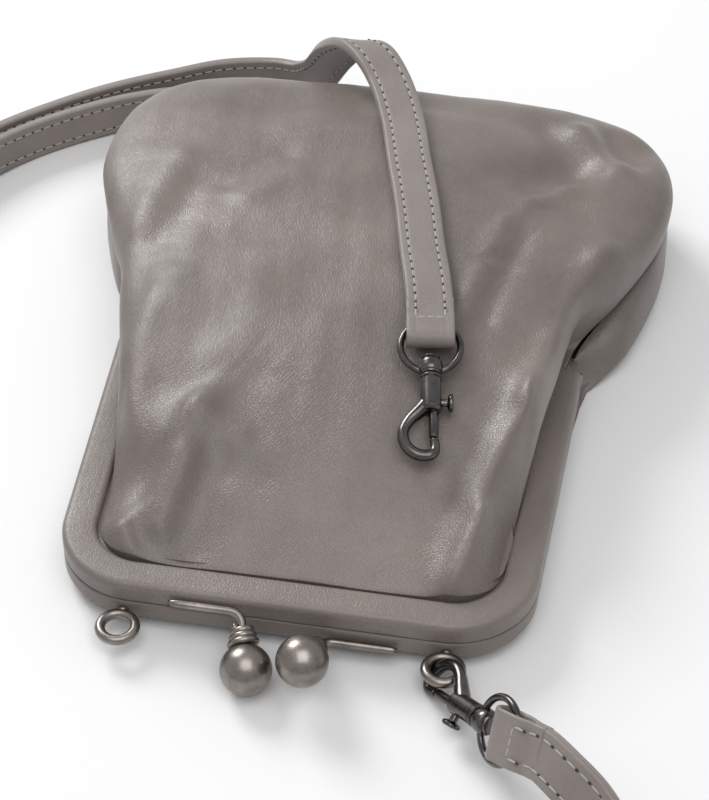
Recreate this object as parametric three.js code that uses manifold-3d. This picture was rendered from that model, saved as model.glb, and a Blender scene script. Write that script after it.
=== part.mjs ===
// A kiss-lock phone bag of soft leather, lying on its back with its strap laid round it.
// Millimetres, +Z up, +X along the frame, +Y from the clasp to the bottom of the bag.
// It is modelled from the middle of the frame's outer edge, then moved to the middle of the whole.
import * as THREE from 'three';
import { mergeVertices } from 'three/addons/utils/BufferGeometryUtils.js';
import Module from 'manifold-3d';

const wasm = await Module();
wasm.setup();

// Frame
const frameWidth = 126;
const frameReach = 102.5;
const frameCorner = 22.6;
const frameBand = 9.1;
const frameHalfThickness = 6.2;
const frameFlareDegrees = 2.5;
const frameLift = 3.0;
const seamGap = 0.3;
const fitGap = 0.3;

// Pouch
const wall = 1.6;
const pouchLength = 207;
const pouchHalfWidth = 85;
const pouchDepth = 41;
const panelSpread = 6.5;
const grooveDepth = 3.6;

// Clasp and rings
const ballDiameter = 13.4;
const rodDiameter = 2.2;
const coilDiameter = 8.6;
const rodLength = 19;
const ringOuter = 11.7;
const ringWire = 2.7;
const ringSpread = 84.2;
const hingeBarrelDiameter = 4;

// Trigger hooks, measured along the hook's own axis from the middle of its swivel ring
const swivelOuter = 18;
const swivelWire = 1.9;
const headDiameter = 5.3;
const collarDiameter = 6.7;
const collarStart = 3.2;
const collarEnd = 7.9;
const barrelDiameter = 6;
const barrelEnd = 19.4;
const hookWire = 2.8;
const boltDiameter = 2.6;
const boltOffset = 0.7;
const boltEnd = 27.4;
const boltTravel = 5.4;
const tabPlace = 16.6;
const tabDiameter = 5;
const tabReach = 5.9;
const stemDiameter = 2.4;
const boreClearance = 0.15;

// Strap
const strapWidth = 13;
const strapThickness = 3.3;
const loopWall = 1.2;
const loopEye = 3.3;
const loopLength = 12.6;

const up = new THREE.Vector3(0, 0, 1);
const halfFrame = frameWidth / 2;
const flare = THREE.MathUtils.degToRad(frameFlareDegrees);
const seamHeight = frameLift + frameHalfThickness + seamGap / 2;
const frameTop = frameLift + 2 * frameHalfThickness + seamGap;

const finishes = {
  pouchLeather: { color: 0x8f8783, roughness: 0.55, metalness: 0 },
  frameLeather: { color: 0x8a817d, roughness: 0.5, metalness: 0 },
  strapLeather: { color: 0x938b86, roughness: 0.55, metalness: 0 },
  nickel: { color: 0x8d867f, roughness: 0.32, metalness: 1 },
  gunmetal: { color: 0x45444a, roughness: 0.25, metalness: 1 },
};

function materialOf(name) {
  return new THREE.MeshStandardMaterial({ name, ...finishes[name] });
}

// Turns a geometry into a solid whose shared points are merged.
function solidOf(geometry) {
  const bare = geometry.index ? geometry.toNonIndexed() : geometry.clone();
  bare.deleteAttribute('normal');
  bare.deleteAttribute('uv');
  const merged = mergeVertices(bare, 1e-4);
  const source = merged.index.array;
  const kept = [];
  for (let i = 0; i < source.length; i += 3) {
    const [a, b, c] = [source[i], source[i + 1], source[i + 2]];
    if (a !== b && b !== c && c !== a) {
      kept.push(a, b, c);
    }
  }
  return new wasm.Manifold(new wasm.Mesh({
    numProp: 3,
    vertProperties: new Float32Array(merged.attributes.position.array),
    triVerts: new Uint32Array(kept),
  }));
}

function geometryOf(solid) {
  const mesh = solid.getMesh();
  const geometry = new THREE.BufferGeometry();
  geometry.setAttribute('position', new THREE.BufferAttribute(new Float32Array(mesh.vertProperties), 3));
  geometry.setIndex(new THREE.BufferAttribute(new Uint32Array(mesh.triVerts), 1));
  geometry.computeVertexNormals();
  return geometry;
}

function joined(...geometries) {
  return geometries.map(solidOf).reduce((all, next) => all.add(next));
}

// Smooth curve through the rows of a table: each column is a cubic through its own values.
function tableAt(rows, t) {
  const place = THREE.MathUtils.clamp(t, 0, 1) * (rows.length - 1);
  const k = Math.min(Math.floor(place), rows.length - 2);
  const f = place - k;
  const before = rows[Math.max(k - 1, 0)];
  const after = rows[Math.min(k + 2, rows.length - 1)];
  return rows[k].map((value, column) => {
    const next = rows[k + 1][column];
    const leave = (next - before[column]) / 2;
    const arrive = (after[column] - value) / 2;
    const curve = (2 * value - 2 * next + leave + arrive) * f ** 3
      + (3 * next - 3 * value - 2 * leave - arrive) * f ** 2;
    return curve + leave * f + value;
  });
}

// Value of a two-column table at x, by a straight line between its rows.
function lookUp(rows, x) {
  if (x <= rows[0][0]) {
    return rows[0][1];
  }
  const above = rows.findIndex((row) => row[0] >= x);
  if (above < 0) {
    return rows[rows.length - 1][1];
  }
  const [low, high] = [rows[above - 1], rows[above]];
  return THREE.MathUtils.mapLinear(x, low[0], high[0], low[1], high[1]);
}

// Skins a row of sections, each a closed ring of points, and closes both ends flat.
function skin(sections, ends) {
  const count = sections[0].length;
  const points = sections.flat();
  const faces = [];
  for (let s = 0; s < sections.length - 1; s += 1) {
    for (let i = 0; i < count; i += 1) {
      const j = (i + 1) % count;
      const [a, b] = [s * count + i, s * count + j];
      const [c, d] = [a + count, b + count];
      faces.push([a, b, d], [a, d, c]);
    }
  }
  const last = (sections.length - 1) * count;
  ends.forEach(([a, b, c]) => {
    faces.push([a, c, b], [last + a, last + b, last + c]);
  });
  return facesToGeometry(points, faces);
}

function facesToGeometry(points, faces) {
  const geometry = new THREE.BufferGeometry();
  geometry.setAttribute('position', new THREE.Float32BufferAttribute(points.flatMap((p) => p.toArray()), 3));
  geometry.setIndex(faces.flat());
  return geometry;
}

// Carries a flat outline along stations, each a place with the two directions of the outline's plane.
function carry(outline, stations) {
  const flat = outline.map(([a, b]) => new THREE.Vector2(a, b));
  const ends = THREE.ShapeUtils.triangulateShape(flat, []);
  const sections = stations.map(({ place, across, rise, size = 1 }) => flat.map((p) => place.clone()
    .addScaledVector(across, p.x * size)
    .addScaledVector(rise, p.y * size)));
  return skin(sections, ends);
}

function roundOutline(radius, sides) {
  return Array.from({ length: sides }, (_, i) => {
    const angle = (2 * Math.PI * i) / sides;
    return [radius * Math.cos(angle), radius * Math.sin(angle)];
  });
}

// Points and outward directions along the frame's outer edge, from the right arm's end to the left one's.
function frameEdge(armSteps, cornerSteps, barSteps, reach) {
  const centre = halfFrame - frameCorner;
  const armStart = new THREE.Vector2(centre + frameCorner * Math.cos(flare), frameCorner * (1 - Math.sin(flare)));
  const armLength = (reach - armStart.y) / Math.cos(flare);
  const half = [];
  for (let i = 0; i < armSteps; i += 1) {
    const along = armLength * (1 - i / armSteps);
    half.push({
      x: armStart.x + along * Math.sin(flare),
      y: armStart.y + along * Math.cos(flare),
      outX: Math.cos(flare),
      outY: -Math.sin(flare),
    });
  }
  for (let i = 0; i <= cornerSteps; i += 1) {
    const angle = THREE.MathUtils.lerp(-flare, -Math.PI / 2, i / cornerSteps);
    half.push({
      x: centre + frameCorner * Math.cos(angle),
      y: frameCorner * (1 + Math.sin(angle)),
      outX: Math.cos(angle),
      outY: Math.sin(angle),
    });
  }
  for (let i = 1; i < barSteps; i += 1) {
    half.push({ x: centre * (1 - i / barSteps), y: 0, outX: 0, outY: -1 });
  }
  const mirrored = half.map((p) => ({ ...p, x: -p.x, outX: -p.outX })).reverse();
  return [...half, { x: 0, y: 0, outX: 0, outY: -1 }, ...mirrored];
}

// Heights of the two panels where they sit in the frame's grooves: their outer faces.
const grooveMiddle = panelSpread / 2;
const grooveHeight = wall + 2 * fitGap;
const frontSeat = seamHeight + grooveMiddle + wall / 2;
const backSeat = seamHeight - grooveMiddle - wall / 2;
const seatInset = frameBand - grooveDepth + fitGap;

// Section of one half of the frame: inward from the outer edge, and away from the seam.
function frameSection() {
  const [rolled, soft] = [0.26 * frameBand, 0.09 * frameBand];
  const low = grooveMiddle - seamGap / 2 - grooveHeight / 2;
  const high = low + grooveHeight;
  const floor = frameBand - grooveDepth;
  const thick = frameHalfThickness;
  return [
    [soft / 2, 0], [frameBand - soft / 2, 0], [frameBand, soft / 2],
    [frameBand, low], [floor, low], [floor, high], [frameBand, high],
    [frameBand, thick - soft], [frameBand - soft, thick], [rolled, thick],
    [rolled / 3, thick - rolled / 2], [0, thick - rolled], [0, soft / 2],
  ];
}

function frameHalf(side) {
  const stations = frameEdge(1, 7, 1, frameReach).map((p) => ({
    place: new THREE.Vector3(p.x, p.y, seamHeight + (side * seamGap) / 2),
    across: new THREE.Vector3(-p.outX, -p.outY, 0),
    rise: new THREE.Vector3(0, 0, side),
  }));
  return carry(frameSection(), side > 0 ? stations.reverse() : stations);
}

// Height of the front panel's crown along the bag: share of the length, share of the depth.
const crown = [
  [0.04, 0.37], [0.1, 0.5], [0.17, 0.645], [0.24, 0.78], [0.31, 0.88], [0.39, 0.95],
  [0.5, 1], [0.62, 1], [0.75, 0.985], [0.85, 0.955], [0.93, 0.915], [1, 0.85],
];
// Ridges and dents of the front panel: ends as shares of half width and length, width and height
// as shares of the depth.
const folds = [
  { from: [0.52, 0.07], to: [0.66, 0.33], width: 0.17, height: 0.1 },
  { from: [0.66, 0.33], to: [0.84, 0.62], width: 0.15, height: 0.08 },
  { from: [-0.62, 0.16], to: [-0.4, 0.4], width: 0.2, height: -0.07 },
  { from: [-0.5, 0.12], to: [-0.36, 0.26], width: 0.12, height: 0.07 },
  { from: [0.55, 0.78], to: [0.86, 0.9], width: 0.2, height: -0.09 },
];

function crownHeight(x, y) {
  const across = x / pouchHalfWidth;
  let height = pouchDepth * lookUp(crown, y / pouchLength) * (1 - 0.1 * across ** 2);
  folds.forEach((fold) => {
    const start = new THREE.Vector2(fold.from[0] * pouchHalfWidth, fold.from[1] * pouchLength);
    const along = new THREE.Vector2(fold.to[0] * pouchHalfWidth, fold.to[1] * pouchLength).sub(start);
    const here = new THREE.Vector2(x, y).sub(start);
    const share = THREE.MathUtils.clamp(here.dot(along) / along.lengthSq(), 0, 1);
    const off = here.addScaledVector(along, -share).length() / (fold.width * pouchDepth);
    height += fold.height * pouchDepth * Math.exp(-(off ** 2));
  });
  return height;
}

// How far each panel stands out past its edge along a frame arm, from the hinge to the middle of
// the bar: shares of the depth, for the front panel on each side and for the back panel.
const armSwell = [
  [0.15, 0.27, 0.0],
  [0.09, 0.21, 0.0],
  [0.02, 0.06, 0.0],
  [-0.04, -0.04, 0.0],
  [-0.05, -0.05, 0.0],
  [-0.05, -0.05, 0.0],
];
// The side seam from each hinge round the bottom: shares of half width and length for its place,
// share of the depth for its height, how far the mouth is still open, then how far the front and
// the back panel stand out past it as shares of the depth.
const rightSeam = [
  [0.735, 0.535, 0.25, 0.85, 0.14, 0.33],
  [0.765, 0.57, 0.31, 0.3, 0.13, 0.37],
  [0.84, 0.615, 0.4, 0, 0.1, 0.3],
  [0.92, 0.675, 0.47, 0, 0.07, 0.17],
  [0.985, 0.745, 0.49, 0, 0.04, 0.06],
  [1.0, 0.83, 0.48, 0, 0.03, 0.03],
  [0.95, 0.91, 0.46, 0, 0.03, 0.03],
  [0.84, 0.965, 0.45, 0, 0.03, 0.03],
  [0.66, 0.99, 0.45, 0, 0.03, 0.03],
  [0.34, 0.998, 0.45, 0, 0.03, 0.03],
  [0, 1, 0.45, 0, 0.03, 0.03],
];
const leftSeam = [
  [-0.735, 0.535, 0.25, 0.85, 0.25, 0.1],
  [-0.765, 0.57, 0.31, 0.3, 0.21, 0.13],
  [-0.83, 0.615, 0.4, 0, 0.13, 0.12],
  [-0.91, 0.675, 0.46, 0, 0.08, 0.08],
  [-0.975, 0.745, 0.48, 0, 0.05, 0.05],
  [-0.985, 0.83, 0.48, 0, 0.03, 0.03],
  [-0.94, 0.91, 0.46, 0, 0.03, 0.03],
  [-0.83, 0.965, 0.45, 0, 0.03, 0.03],
  [-0.66, 0.99, 0.45, 0, 0.03, 0.03],
  [-0.34, 0.998, 0.45, 0, 0.03, 0.03],
  [0, 1, 0.45, 0, 0.03, 0.03],
];

// Ribs of a panel, from its edge to the middle of the bag. Columns: reach out of the groove,
// share of the swell when held by the frame and when sewn to the other panel, share of the
// height gained in those two cases, and share of the way to the middle.
const frontRib = [
  [0, 0, 0, 0, 0, 0],
  [1, 0, 0.35, 0, 0.08, 0],
  [1.28, 0, 0.75, 0.06, 0.22, 0],
  [1.2, 0.55, 1, 0.34, 0.42, 0],
  [1.1, 0.95, 0.95, 0.54, 0.61, 0],
  [1.1, 0.95, 0.75, 0.76, 0.79, 0.02],
  [1.1, 0.6, 0.45, 0.91, 0.91, 0.07],
  [1.1, 0.25, 0.2, 0.98, 0.98, 0.18],
  [1, 0, 0, 1, 1, 0.42],
  [1, 0, 0, 1, 1, 0.7],
];
const backRib = [
  [0, 0, 0, 0, 0, 0],
  [1, 0, 0.4, 0, 0.04, 0],
  [1.3, 0, 0.8, 0.3, 0.2, 0],
  [1.6, 0.4, 1, 0.72, 0.5, 0],
  [2, 0.8, 0.9, 0.93, 0.8, 0],
  [2.6, 0.4, 0.5, 1, 0.97, 0.04],
  [2.6, 0, 0.1, 1, 1, 0.14],
  [2, 0, 0, 1, 1, 0.5],
];
const ribMiddle = { x: 0, y: 0.5 * pouchLength };

// The pouch's edge all round: where each rib starts, which way it faces out, and its shares.
function pouchEdge() {
  const held = frameEdge(7, 4, 4, frameReach).map((p, i, all) => {
    const fromEnd = Math.min(i, all.length - 1 - i) / ((all.length - 1) / 2);
    const [right, left, back] = tableAt(armSwell, fromEnd);
    const way = THREE.MathUtils.smoothstep(p.x, -halfFrame / 3, halfFrame / 3);
    return {
      x: p.x - p.outX * seatInset,
      y: p.y - p.outY * seatInset,
      height: seamHeight,
      grip: 1,
      front: THREE.MathUtils.lerp(left, right, way) * pouchDepth,
      back: back * pouchDepth,
    };
  });
  const sewn = (rows, steps) => Array.from({ length: steps }, (_, i) => {
    const [x, y, height, grip, front, back] = tableAt(rows, i / (steps - 1));
    return {
      x: x * pouchHalfWidth,
      y: y * pouchLength,
      height: height * pouchDepth,
      grip: Math.max(grip, 0),
      front: front * pouchDepth,
      back: back * pouchDepth,
    };
  });
  const right = sewn(rightSeam, 14);
  const left = sewn(leftSeam, 14);
  const edge = [...held, ...left, ...right.slice(0, -1).reverse()];
  return edge.map((p, i) => {
    const before = edge[(i + edge.length - 1) % edge.length];
    const after = edge[(i + 1) % edge.length];
    const out = new THREE.Vector2(before.y - after.y, after.x - before.x).normalize();
    return { ...p, outX: out.x, outY: out.y };
  });
}

function ribPoints(edge, rib, seat, swell, target) {
  const grooveReach = grooveDepth + fitGap;
  return rib.map(([reach, outHeld, outSewn, gainHeld, gainSewn, inward]) => {
    const out = swell * THREE.MathUtils.lerp(outSewn, outHeld, edge.grip) - edge.grip * reach * grooveReach;
    const x = THREE.MathUtils.lerp(edge.x + edge.outX * out, ribMiddle.x, inward);
    const y = THREE.MathUtils.lerp(edge.y + edge.outY * out, ribMiddle.y, inward);
    const start = THREE.MathUtils.lerp(edge.height, seat, edge.grip);
    const gain = THREE.MathUtils.lerp(gainSewn, gainHeld, edge.grip);
    return new THREE.Vector3(x, y, THREE.MathUtils.lerp(start, target(x, y), gain));
  });
}

// One shell: the outer face, the same face moved in by the wall, and a rim round the mouth.
function pouch() {
  const edges = pouchEdge();
  const ribs = edges.map((edge) => {
    const front = ribPoints(edge, frontRib, frontSeat, edge.front, crownHeight);
    const back = ribPoints(edge, backRib, backSeat, edge.back, () => 0);
    if (edge.grip === 0) {
      back[0].copy(front[0]);
    }
    return [...back.reverse(), ...front];
  });
  const backCount = backRib.length;
  const across = ribs[0].length;
  const outer = ribs.flat();
  const poleBack = outer.length;
  const poleFront = outer.length + 1;
  outer.push(new THREE.Vector3(ribMiddle.x, ribMiddle.y, 0));
  outer.push(new THREE.Vector3(ribMiddle.x, ribMiddle.y, crownHeight(ribMiddle.x, ribMiddle.y)));
  const faces = [];
  const rim = [];
  ribs.forEach((_, i) => {
    const j = (i + ribs.length - 1) % ribs.length;
    const [a, b] = [i * across, j * across];
    faces.push([poleBack, b, a], [poleFront, a + across - 1, b + across - 1]);
    for (let k = 0; k < across - 1; k += 1) {
      const isMouth = k === backCount - 1;
      if (isMouth) {
        rim.push([a + k, b + k, a + k + 1, b + k + 1]);
      } else {
        faces.push([a + k, b + k, b + k + 1], [a + k, b + k + 1, a + k + 1]);
      }
    }
  });
  const same = (i, j) => outer[i].distanceTo(outer[j]) < 1e-6;
  const owner = outer.map((_, i) => {
    const rib = Math.floor(i / across);
    const isFrontEdge = i < poleBack && i % across === backCount;
    return isFrontEdge && same(i, rib * across + backCount - 1) ? i - 1 : i;
  });
  const shared = faces.map((face) => face.map((i) => owner[i]));
  const normals = outer.map(() => new THREE.Vector3());
  shared.forEach(([a, b, c]) => {
    const normal = outer[b].clone().sub(outer[a]).cross(outer[c].clone().sub(outer[a]));
    [a, b, c].forEach((i) => normals[i].add(normal));
  });
  const inner = outer.map((p, i) => p.clone().addScaledVector(normals[owner[i]].normalize(), -wall));
  const shift = outer.length;
  const all = [...outer, ...inner];
  const closed = [...shared, ...shared.map(([a, b, c]) => [a + shift, c + shift, b + shift])];
  rim.forEach(([backA, backB, frontA, frontB]) => {
    const lip = (a, b) => closed.push([a, b, b + shift], [a, b + shift, a + shift]);
    const [fa, fb] = [owner[frontA], owner[frontB]];
    if (fa !== backA || fb !== backB) {
      lip(backA, backB);
      lip(fb, fa);
    }
  });
  return facesToGeometry(all, closed.filter(([a, b, c]) => a !== b && b !== c && c !== a));
}

// A rod along the frame's edge whose end turns down to a coil and a ball.
function clasp(side, ballPlace, rodHeight, turn) {
  const rodY = -(rodDiameter / 2 + fitGap);
  const rodStart = new THREE.Vector3(side * (turn + rodLength), rodY, rodHeight);
  const rodBend = new THREE.Vector3(side * turn, rodY, rodHeight);
  const drop = ballPlace.clone().sub(rodBend).normalize();
  const curve = new THREE.CurvePath();
  const bend = 0.18 * rodLength;
  const early = rodBend.clone().add(new THREE.Vector3(side * bend, 0, 0));
  const late = rodBend.clone().addScaledVector(drop, bend);
  curve.add(new THREE.LineCurve3(rodStart, early));
  curve.add(new THREE.QuadraticBezierCurve3(early, rodBend, late));
  curve.add(new THREE.LineCurve3(late, ballPlace));
  const outline = new THREE.Shape(roundOutline(rodDiameter / 2, 8).map(([a, b]) => new THREE.Vector2(a, b)));
  const rod = new THREE.ExtrudeGeometry(outline, { steps: 22, bevelEnabled: false, extrudePath: curve });
  const ball = new THREE.SphereGeometry(ballDiameter / 2, 14, 10);
  ball.translate(ballPlace.x, ballPlace.y, ballPlace.z);
  const coilLength = 3 * rodDiameter * 0.8;
  const [thin, fat] = [0.36 * coilDiameter, 0.5 * coilDiameter];
  const coil = new THREE.LatheGeometry([
    new THREE.Vector2(0, 0), new THREE.Vector2(0.9 * fat, 0), new THREE.Vector2(fat, coilLength * 0.2),
    new THREE.Vector2(0.8 * fat, coilLength * 0.36), new THREE.Vector2(0.86 * fat, coilLength * 0.55),
    new THREE.Vector2(thin, coilLength * 0.7), new THREE.Vector2(thin * 0.9, coilLength), new THREE.Vector2(0, coilLength),
  ], 12);
  coil.applyQuaternion(new THREE.Quaternion().setFromUnitVectors(new THREE.Vector3(0, 1, 0), drop.clone().negate()));
  const seat = ballPlace.clone().addScaledVector(drop, -0.46 * ballDiameter);
  coil.translate(seat.x, seat.y, seat.z);
  return joined(rod, ball, coil);
}

// A closed ring with a short foot that seats on the frame's edge.
function strapRing() {
  const middle = (ringOuter - ringWire) / 2;
  const ring = new THREE.TorusGeometry(middle, ringWire / 2, 8, 20);
  ring.translate(0, -ringOuter / 2, 0);
  const foot = new THREE.CylinderGeometry(ringWire / 2, ringWire / 2, ringWire / 2, 10);
  foot.translate(0, -ringWire / 4, 0);
  return joined(ring, foot);
}

function hingePin() {
  const r = hingeBarrelDiameter / 2;
  const half = frameBand / 2;
  const barrel = new THREE.CylinderGeometry(r, r, frameBand, 12);
  const cap = new THREE.CylinderGeometry(0.6 * r, 0.85 * r, 0.2 * r, 12);
  cap.translate(0, half + 0.1 * r, 0);
  return joined(barrel, cap);
}

// Turns a lathe profile of [along, radius] into a round solid along +X.
function turned(profile, sides, offset = 0) {
  const geometry = new THREE.LatheGeometry(profile.map(([along, radius]) => new THREE.Vector2(radius, along)), sides);
  geometry.rotateZ(-Math.PI / 2);
  geometry.translate(0, offset, 0);
  return geometry;
}

const boltBore = boltDiameter / 2 + boreClearance;
const boltTail = tabPlace - 0.5 * boltDiameter;
const boreStart = boltTail - boltTravel - fitGap;
const stemEnd = collarEnd + 0.6 * stemDiameter;

// The swivel ring, with the collar that carries it and the stem that turns in the barrel.
function swivelRing() {
  const middle = (swivelOuter - swivelWire) / 2;
  const ring = new THREE.TorusGeometry(middle, swivelWire / 2, 8, 24);
  ring.translate(collarEnd - swivelWire / 2 - middle, 0, 0);
  const [head, collar, stem] = [headDiameter / 2, collarDiameter / 2, stemDiameter / 2];
  const body = turned([
    [collarStart - 0.9, 0], [collarStart - 0.9, head * 0.9], [collarStart - 0.5, head], [collarStart, head * 0.9],
    [collarStart + 0.7, collar * 0.9], [(collarStart + collarEnd) / 2, collar], [collarEnd - 0.5, collar * 0.97],
    [collarEnd, collar * 0.85], [collarEnd, stem], [stemEnd, stem], [stemEnd, 0],
  ], 14);
  return joined(ring, body);
}

// Path of the hook's bow from inside the barrel round to its tip, with the wire's thickness:
// shares of the bolt's end along the axis and of the barrel's diameter across.
const bow = [
  [0.6, -0.12, 1.45], [0.7, -0.52, 1.3], [0.81, -0.97, 1.08], [0.94, -1.24, 1],
  [1.09, -1.08, 1], [1.18, -0.62, 1], [1.19, -0.1, 1], [1.15, 0.13, 0.95], [1.08, 0.17, 0.92], [1.018, 0.13, 0.9],
];

function hookBody() {
  const r = barrelDiameter / 2;
  const start = collarEnd + fitGap;
  const barrel = turned([
    [start, 0], [start, r * 0.92], [start + 0.4, r], [barrelEnd - 0.8, r], [barrelEnd, r * 0.8], [barrelEnd, 0],
  ], 14);
  const centres = bow.map(([along, across]) => new THREE.Vector3(along * boltEnd, across * barrelDiameter, 0));
  const curve = new THREE.CatmullRomCurve3(centres, false, 'centripetal');
  const steps = 18;
  const stations = Array.from({ length: steps + 1 }, (_, i) => {
    const t = i / steps;
    const tangent = curve.getTangent(t);
    return {
      place: curve.getPoint(t),
      across: new THREE.Vector3().crossVectors(up, tangent).normalize(),
      rise: up,
      size: tableAt(bow, t)[2],
    };
  });
  const hook = carry(roundOutline(hookWire / 2, 8), stations);
  const bore = turned([[boreStart, 0], [boreStart, boltBore], [boltEnd + fitGap, boltBore], [boltEnd + fitGap, 0]], 12, boltOffset);
  const stemBore = stemDiameter / 2 + boreClearance;
  const socket = turned([[0, 0], [0, stemBore], [stemEnd + fitGap, stemBore], [stemEnd + fitGap, 0]], 12);
  const slotWidth = 0.8 * boltDiameter + 2 * boreClearance;
  const slotStart = tabPlace - boltTravel - slotWidth / 2 - fitGap;
  const slotEnd = tabPlace + slotWidth / 2 + fitGap;
  const slot = new THREE.BoxGeometry(slotEnd - slotStart, barrelDiameter, slotWidth);
  slot.translate((slotStart + slotEnd) / 2, boltOffset + barrelDiameter / 2, 0);
  return joined(barrel, hook).subtract(solidOf(bore)).subtract(solidOf(socket)).subtract(solidOf(slot));
}

function hookBolt() {
  const r = boltDiameter / 2;
  const pin = turned([[boltTail, 0], [boltTail, r], [boltEnd - 0.3, r], [boltEnd, r * 0.8], [boltEnd, 0]], 12, boltOffset);
  const post = new THREE.CylinderGeometry(0.4 * boltDiameter, 0.4 * boltDiameter, tabReach - boltOffset - 0.6, 10);
  post.translate(tabPlace, (tabReach + boltOffset - 0.6) / 2, 0);
  const tab = new THREE.CylinderGeometry(tabDiameter / 2, 0.42 * tabDiameter, 1.3, 14);
  tab.translate(tabPlace, tabReach - 0.65, 0);
  return joined(pin, post, tab);
}

// Frame of directions at a place: along, across and the face's outward normal after a turn about along.
function directions(along, rollDegrees) {
  const level = new THREE.Vector3().crossVectors(up, along).normalize();
  const face = new THREE.Vector3().crossVectors(along, level);
  const roll = THREE.MathUtils.degToRad(rollDegrees);
  const across = level.clone().multiplyScalar(Math.cos(roll)).addScaledVector(face, -Math.sin(roll));
  return { along, across, face: new THREE.Vector3().crossVectors(along, across) };
}

function hookPlace(origin, heading, sink, roll) {
  const h = THREE.MathUtils.degToRad(heading);
  const s = THREE.MathUtils.degToRad(sink);
  const along = new THREE.Vector3(Math.cos(h) * Math.cos(s), Math.sin(h) * Math.cos(s), -Math.sin(s));
  return { origin, ...directions(along, roll) };
}

function matrixOf({ origin, along, across, face }) {
  return new THREE.Matrix4().makeBasis(along, across, face).setPosition(origin);
}

// Hook poses: the middle of the swivel ring, the heading of the axis from +X, its slope down, and
// its turn about that axis.
const freeHook = hookPlace(new THREE.Vector3(26.3, 73.5, 41.9), -81, 15, 0);
const ringHook = hookPlace(new THREE.Vector3(58.1, -29.8, 15.8), 131.1, 24.9, 43.2);
const ringHookSwivel = { origin: ringHook.origin, ...directions(ringHook.along, 62) };
const freeLoopTilt = 12;
const ringLoopTilt = 13;
const ringTilt = -3.5;

// Strap routes: shares of half width, length and depth for the place, and the turn out of flat.
const shortRoute = [
  [0.253, 0.485, 1.075, 0], [0.215, 0.55, 1.055, 0], [0.16, 0.65, 1.052, 0],
  [0.1, 0.745, 1.042, 0], [0.035, 0.85, 1.03, 0], [-0.04, 0.93, 1.07, 0], [-0.12, 0.98, 1.12, 4],
  [-0.205, 1.02, 1.05, 22], [-0.295, 1.06, 0.8, 48], [-0.375, 1.098, 0.47, 72], [-0.46, 1.145, 0.23, 86],
  [-0.58, 1.165, 0.17, 90], [-0.77, 1.148, 0.17, 90], [-0.95, 1.107, 0.17, 90], [-1.17, 1.05, 0.17, 90],
  [-1.36, 0.985, 0.17, 90], [-1.54, 0.905, 0.18, 90], [-1.68, 0.81, 0.2, 90], [-1.755, 0.72, 0.215, 90],
];
const longRoute = [
  [0.87, -0.22, 0.475, 40], [0.935, -0.238, 0.39, 18], [1.0, -0.265, 0.31, 12], [1.09, -0.31, 0.235, 42],
  [1.165, -0.365, 0.185, 72], [1.185, -0.43, 0.17, 88], [1.13, -0.51, 0.17, 90],
  [0.97, -0.575, 0.17, 90], [0.6, -0.61, 0.17, 90], [0.1, -0.615, 0.17, 90], [-0.5, -0.61, 0.17, 90],
  [-1.05, -0.585, 0.17, 90], [-1.5, -0.5, 0.17, 90], [-1.79, -0.33, 0.17, 90], [-1.92, -0.08, 0.17, 90],
  [-1.95, 0.2, 0.17, 90], [-1.88, 0.48, 0.18, 90], [-1.775, 0.64, 0.205, 90], [-1.68, 0.745, 0.215, 90],
  [-1.56, 0.842, 0.19, 90], [-1.42, 0.92, 0.17, 90], [-1.24, 0.985, 0.17, 90], [-1.05, 1.035, 0.17, 90],
  [-0.85, 1.065, 0.17, 90], [-0.66, 1.07, 0.17, 90],
];

// Stations along a strap: its middle line and the directions of its section.
function strapStations(start, route, steps) {
  const turns = [start.turn, start.turn, ...route.map((row) => row[3])].map((turn) => [turn]);
  const centres = route.map(([x, y, z]) => new THREE.Vector3(x * pouchHalfWidth, y * pouchLength, z * pouchDepth));
  const straight = start.place.clone().addScaledVector(start.away, strapWidth / 4);
  const curve = new THREE.CatmullRomCurve3([start.place, straight, ...centres], false, 'centripetal');
  return Array.from({ length: steps + 1 }, (_, i) => {
    const t = i / steps;
    const along = i === 0 ? start.away : curve.getTangent(t);
    const { across, face } = directions(along, -tableAt(turns, t)[0]);
    return { place: curve.getPoint(t), across, rise: face, along };
  });
}

const loopEyeStart = 0.22 * loopLength;
const swivelFar = collarEnd + swivelWire / 2 - swivelOuter;

// Where a strap starts when its folded end holds the far side of a swivel ring, turned about that
// side by a few degrees out of the ring's plane.
function strapStart(ringPose, tiltDegrees) {
  const wirePlace = ringPose.origin.clone().addScaledVector(ringPose.along, swivelFar);
  const tilt = THREE.MathUtils.degToRad(tiltDegrees);
  const away = ringPose.along.clone().multiplyScalar(-Math.cos(tilt)).addScaledVector(ringPose.face, -Math.sin(tilt));
  const middle = (swivelOuter - swivelWire) / 2;
  const dip = middle - Math.sqrt(middle ** 2 - (strapWidth / 2) ** 2);
  const flat = directions(away, 0);
  const across = ringPose.across.clone().negate();
  const turn = THREE.MathUtils.radToDeg(Math.atan2(across.dot(flat.face), across.dot(flat.across)));
  return {
    place: wirePlace.addScaledVector(away, loopEyeStart + fitGap + swivelWire / 2)
      .addScaledVector(ringPose.face, -0.5 * dip * Math.sin(tilt)),
    away,
    turn,
  };
}

const strapOutline = (() => {
  const [w, t, edge] = [strapWidth / 2, strapThickness / 2, 0.2 * strapThickness];
  return [[-w, -t + edge], [-w + edge, -t], [w - edge, -t], [w, -t + edge],
    [w, t - edge], [w - edge, t], [-w + edge, t], [-w, t - edge]];
})();

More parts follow.
